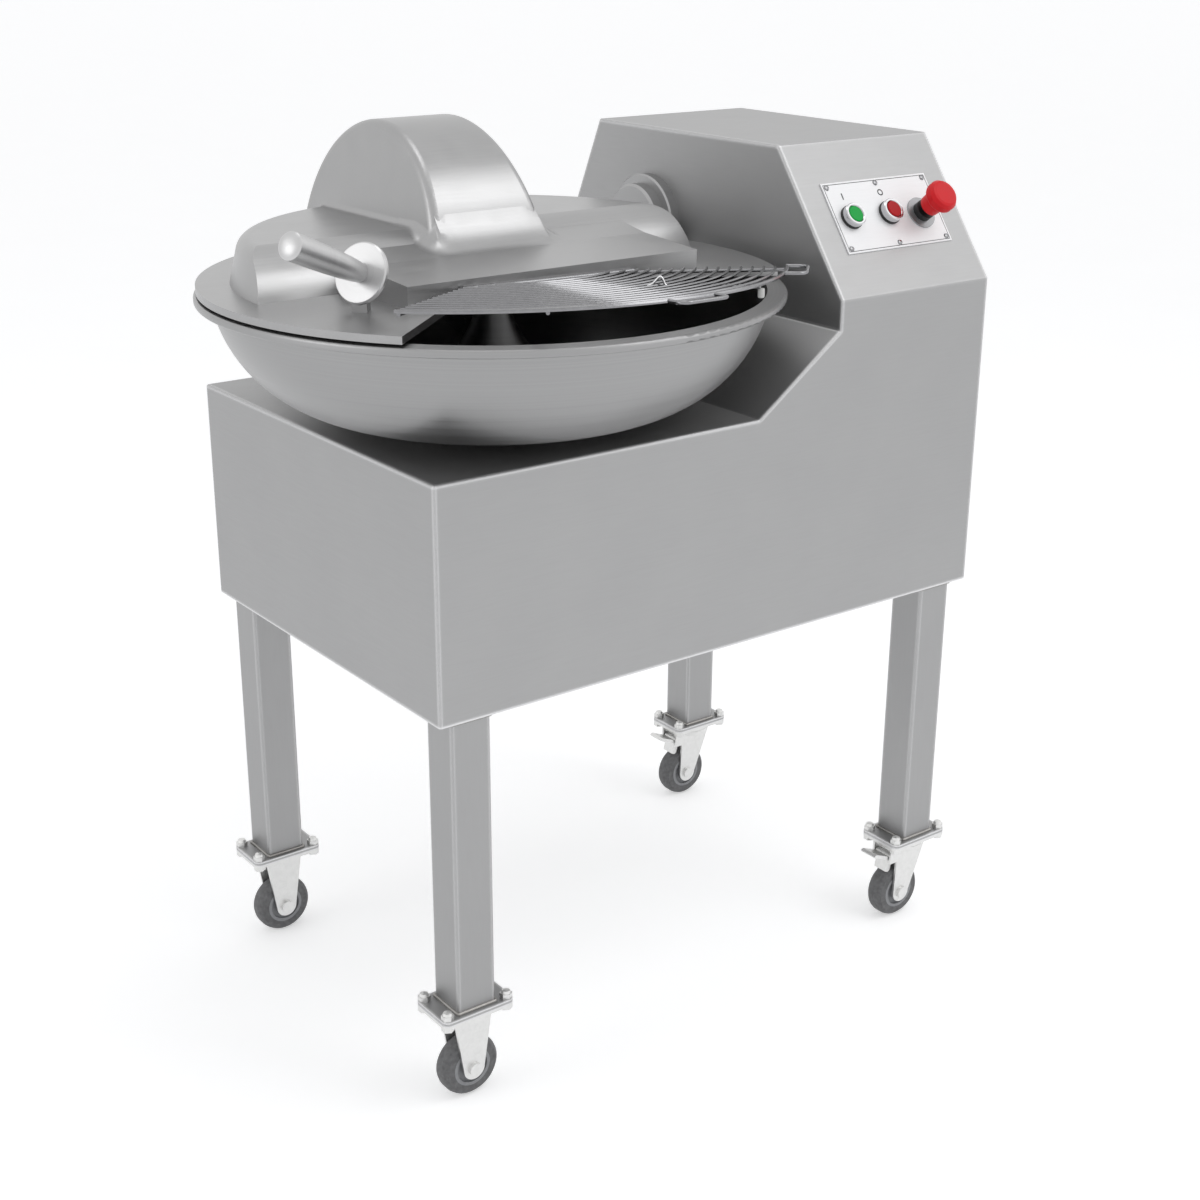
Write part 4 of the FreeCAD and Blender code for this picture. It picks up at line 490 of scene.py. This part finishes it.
def blend_section(foot, way, share):
    # Closed section: hollow curve from the wall to the base, then the corner under the skin
    rise = blend_small + (blend_front_rise - blend_small) * share
    run = blend_small + (blend_front_run - blend_small) * share
    out = Vector((way[0], way[1], 0))
    spot = Vector((foot[0], foot[1], 0))
    base, base_normal = hit(spot + out * run + Vector((0, 0, over_machine)), (0, 0, -1))
    wall, wall_normal = hit(spot + out * clear_of_hump + Vector((0, 0, base.z + rise)), -out)
    base_flat = (base_normal.dot(out), base_normal.z)
    wall_flat = (wall_normal.dot(out), wall_normal.z)
    base_way = Vector((base_flat[1], -base_flat[0]))
    wall_way = Vector((wall_flat[1], -wall_flat[0]))
    b = Vector(((base - spot).dot(out), base.z))
    w = Vector(((wall - spot).dot(out), wall.z))
    gap = b - w
    cross = wall_way.x * base_way.y - wall_way.y * base_way.x
    reach = (gap.x * base_way.y - gap.y * base_way.x) / cross
    corner = w + wall_way * reach
    curve = []
    steps = 12
    for k in range(steps + 1):
        t = k / steps
        curve.append(w * (1 - t) ** 2 + corner * (2 * t * (1 - t)) + b * t ** 2)
    curve[0] = w - Vector(wall_flat) * end_under
    curve[-1] = b - Vector(base_flat) * end_under
    inner = corner - Vector((wall_flat[0] + base_flat[0],
                             wall_flat[1] + base_flat[1])) * corner_under
    return [spot + out * p.x + Vector((0, 0, p.y)) for p in curve + [inner]]


blend = bmesh.new()
skin_rings(blend, [blend_section(*station) for station in blend_stations()])
blend.normal_update()
for edge in blend.edges:
    if len(edge.link_faces) == 2 and edge.calc_face_angle(0.0) > math.radians(35):
        edge.smooth = False
hump_blend = mesh_piece("hump_blend", blend, buffed_aluminium)
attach(hump_blend, "cover")

# The lifting handle. Aluminium bar, turned on a lathe with its disc, so the disc shows
# a bow of light across its rings and the bar a streak along its side.
handle_disc = Vector((-411.888, -150.033, 950.0)) * MM
handle_way = Vector((-0.86, -0.347, 0.375)).normalized()
turned_handle = turned_about("turned_aluminium_handle", "#cecece", "#bababb", handle_disc, handle_way,
                             1.6 * MM, 0.36, 0.08, 0.45)
finish(turned_handle, "handle_grip")

# The scraper. A plate of black polyethylene that hangs in the trough and turns the food.
scraper_plastic = moulded("black_polyethylene", "#262627", "#1b1b1c", 6 * MM, 0.4, 0.15)
finish(scraper_plastic, "bowl_scraper")

# The wire guard. Rings of bright stainless wire spot welded on bars, with a finger loop
# at its side and one at its front.
bright_wire = cloudy_metal("bright_stainless_wire", "#98989a", "#7c7c7e", 4 * MM, 0.20, 0.02)
finish(bright_wire, "wire_guard")


wire_sides = 10


def bent_wire(made, points, radius):
    # Round wire through the points, on a smooth curve between them
    ends = [points[0] * 2 - points[1], *points, points[-1] * 2 - points[-2]]
    path = []
    for a, b, c, d in zip(ends, ends[1:], ends[2:], ends[3:]):
        for t in (0.0, 0.25, 0.5, 0.75):
            path.append(0.5 * (2 * b + (c - a) * t + (2 * a - 5 * b + 4 * c - d) * t ** 2
                               + (3 * b - a - 3 * c + d) * t ** 3))
    path.append(points[-1])
    rings = []
    for k, place in enumerate(path):
        way = (path[min(k + 1, len(path) - 1)] - path[max(k - 1, 0)]).normalized()
        side = way.cross(upright).normalized()
        over = side.cross(way)
        rings.append([place + (side * math.cos(turn) + over * math.sin(turn)) * radius
                      for turn in (2 * math.pi * j / wire_sides for j in range(wire_sides))])
    skin_rings(made, rings)


# A clip of thinner, brighter wire is hooked over the rings by the front finger loop
clip_wire = cloudy_metal("polished_clip_wire", "#ececed", "#d2d2d3", 3 * MM, 0.25, 0.02)
clip_middle = Vector((-141.5, -295.6, 930.6))
clip_along = Vector((0.80, -0.60, 0.0))
clip_wire_radius = 1.3
# Along the clip and over its middle
clip_shape = ((-13, -1.4), (-8, 0.8), (-3, 6.0), (0, 8.4), (3, 5.2), (5, 0.4), (8, -1.2), (13, -1.0))
clip = bmesh.new()
bent_wire(clip, [clip_middle + clip_along * along + upright * rise for along, rise in clip_shape],
          clip_wire_radius)
guard_clip = mesh_piece("guard_clip", clip, clip_wire)
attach(guard_clip, "cover")

# A pale nylon buffer under the outer ring keeps the guard off the bowl's rim
buffer_x, buffer_y = -57.0, -357.5
buffer_sides = 20
# Height and radius, from the wire down
buffer_profile = ((927.2, 3.0), (926.6, 3.6), (918.6, 3.6), (917.7, 3.2), (917.4, 2.2))
buffer_nylon = moulded("pale_nylon_buffer", "#dcdcd9", "#c9c9c6", 3 * MM, 0.5, 0.1)
buffer = bmesh.new()
skin_rings(buffer, [[(buffer_x + radius * math.cos(turn), buffer_y + radius * math.sin(turn), z)
                     for turn in (2 * math.pi * j / buffer_sides for j in range(buffer_sides))]
                    for z, radius in buffer_profile])
guard_buffer = mesh_piece("guard_buffer", buffer, buffer_nylon)
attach(guard_buffer, "cover")

# The controls. A white anodised plate with an engraved border on the console's slope,
# two push buttons in chromed bezels on black seats, and a mushroom head for the
# emergency stop over a grey ring and a black collar.
slope_foot = Vector((0.0, -260.0, 873.0))
slope_up = Vector((0.0, 0.5928619, 0.8053041))
slope_out = Vector((0.0, -0.8053041, 0.5928619))
plate_left, plate_right = 193.0, 365.0
plate_low, plate_high = 55.0, 147.0
plate_thick = 1.5
border_inset = 2.6
# The engraved line is half this wide, and would be lost at this distance
border_width = 0.9
start_x, stop_x = 219.0, 281.0
mark_row = 128.0


def on_plate(x, along, lift):
    # A point across, up and over the plate's face, in millimetres
    return slope_foot + Vector((x, 0, 0)) + slope_up * along + slope_out * (plate_thick + lift)


def lift_over_plate(tree):
    # Height over the plate's face, in millimetres
    place = add(tree, "ShaderNodeTexCoord")
    from_plate = add(tree, "ShaderNodeVectorMath",
                     {0: place.outputs["Object"], 1: on_plate(0, 0, 0) * MM}, operation="SUBTRACT")
    height = add(tree, "ShaderNodeVectorMath", {0: from_plate.outputs[0], 1: slope_out},
                 operation="DOT_PRODUCT")
    return add(tree, "ShaderNodeMath", {0: height.outputs["Value"], 1: 1 / MM},
               operation="MULTIPLY").outputs[0]


def seated(name, low_colour, high_colour, split, metal_low, metal_high, rough_low, rough_high):
    # A turned piece in two finishes, one below a height over the plate and one above it
    made, tree = blank_material(name)
    above = add(tree, "ShaderNodeMath", {0: lift_over_plate(tree), 1: split}, operation="GREATER_THAN")
    metal = add(tree, "ShaderNodeMix", {0: above.outputs[0], 2: metal_low, 3: metal_high})
    gloss = add(tree, "ShaderNodeMix", {0: above.outputs[0], 2: rough_low, 3: rough_high})
    surface(tree, add(tree, "ShaderNodeBsdfPrincipled", {
        "Base Color": between(tree, above.outputs[0], low_colour, high_colour),
        "Metallic": metal.outputs[0], "Roughness": gloss.outputs[0],
        "Normal": bumped(tree, object_noise(tree, 3 * MM, 3.0), 0.06, 0.1 * MM)}))
    return made


chromed_bezel = seated("chromed_bezel_on_black_seat", "#1a1a1b", "#c2c2c4", 3.2,
                       0.0, 1.0, 0.45, 0.18)
collar_on_ring = seated("black_collar_on_grey_ring", "#9b9c9e", "#161617", 2.2,
                        0.7, 0.0, 0.40, 0.42)
chrome_screw = cloudy_metal("chromed_screw", "#98989a", "#7c7c7e", 2 * MM, 0.22, 0.05)
green_cap = moulded("green_button_cap", "#10b04a", "#0c9c3e", 4 * MM, 0.5, 0.05, 0.25)
red_cap = moulded("red_button_cap", "#bd0f19", "#a60b14", 4 * MM, 0.5, 0.05, 0.25)
red_head = moulded("red_mushroom_head", "#de1620", "#d0121b", 9 * MM, 0.45, 0.04, 0.3)
black_nylon = moulded("black_nylon", "#1d1d1e", "#131314", 3 * MM, 0.45, 0.15)

anodised_plate, tree = blank_material("white_anodised_plate")
plate_place = add(tree, "ShaderNodeTexCoord")
plate_middle = on_plate((plate_left + plate_right) / 2, (plate_low + plate_high) / 2, 0)
plate_from = add(tree, "ShaderNodeVectorMath",
                 {0: plate_place.outputs["Object"], 1: plate_middle * MM}, operation="SUBTRACT")
plate_side = add(tree, "ShaderNodeSeparateXYZ", {0: plate_from.outputs[0]})
plate_rise = add(tree, "ShaderNodeVectorMath", {0: plate_from.outputs[0], 1: slope_up},
                 operation="DOT_PRODUCT")
edge_gaps = []
for distance, half_size in ((plate_side.outputs[0], (plate_right - plate_left) / 2),
                            (plate_rise.outputs["Value"], (plate_high - plate_low) / 2)):
    away = add(tree, "ShaderNodeMath", {0: distance}, operation="ABSOLUTE")
    edge_gaps.append(add(tree, "ShaderNodeMath", {0: half_size * MM, 1: away.outputs[0]},
                         operation="SUBTRACT").outputs[0])
nearest_edge = add(tree, "ShaderNodeMath", {0: edge_gaps[0], 1: edge_gaps[1]}, operation="MINIMUM")
in_border = add(tree, "ShaderNodeMath", {0: nearest_edge.outputs[0], 1: border_inset * MM,
                                         2: border_width / 2 * MM}, operation="COMPARE")
plate_white = between(tree, grain_along(tree, 0, 30 * MM, 0.9 * MM), "#ededee", "#f7f7f8")
plate_tone = add(tree, "ShaderNodeMix", {0: in_border.outputs[0], 6: plate_white,
                                         7: linear("#3a3a3c")}, data_type="RGBA")
surface(tree, add(tree, "ShaderNodeBsdfPrincipled", {"Base Color": plate_tone.outputs[2], "Metallic": 0.15,
                                                     "Roughness": 0.45}))
finish(anodised_plate, "control_plate")
finish(chromed_bezel, "start_bezel", "stop_bezel")
finish(chrome_screw, "housing_screws")
finish(collar_on_ring, "estop_bezel")
finish(green_cap, "start_button")
finish(red_cap, "stop_button")
finish(red_head, "estop_head")
finish(black_nylon, "estop_stem", "contact_blocks", "supply_gland")

# The marks over the buttons, printed in black ink: a bar for on and a ring for off.
mark_ink = moulded("black_marking_ink", "#202022", "#161617", 1 * MM, 0.5, 0.05)
ink_low, ink_high = -0.02, 0.15
marks = bmesh.new()
bar_half_width, bar_half_length = 0.8, 4.2
corners = [(-bar_half_width, -bar_half_length), (bar_half_width, -bar_half_length),
           (bar_half_width, bar_half_length), (-bar_half_width, bar_half_length)]
skin_rings(marks, [[on_plate(start_x + x, mark_row + along, lift) for x, along in corners]
                   for lift in (ink_low, ink_high)])
ring_outer, ring_inner, ring_steps = 4.2, 2.8, 32
ring_sections = []
for k in range(ring_steps):
    turn = 2 * math.pi * k / ring_steps
    ring_sections.append([on_plate(stop_x + radius * math.cos(turn), mark_row + radius * math.sin(turn), lift)
                          for radius, lift in ((ring_inner, ink_low), (ring_outer, ink_low),
                                               (ring_outer, ink_high), (ring_inner, ink_high))])
skin_rings(marks, ring_sections, closed=True)
button_marks = mesh_piece("button_marks", marks, mark_ink, smooth=False)
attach(button_marks, "frame")
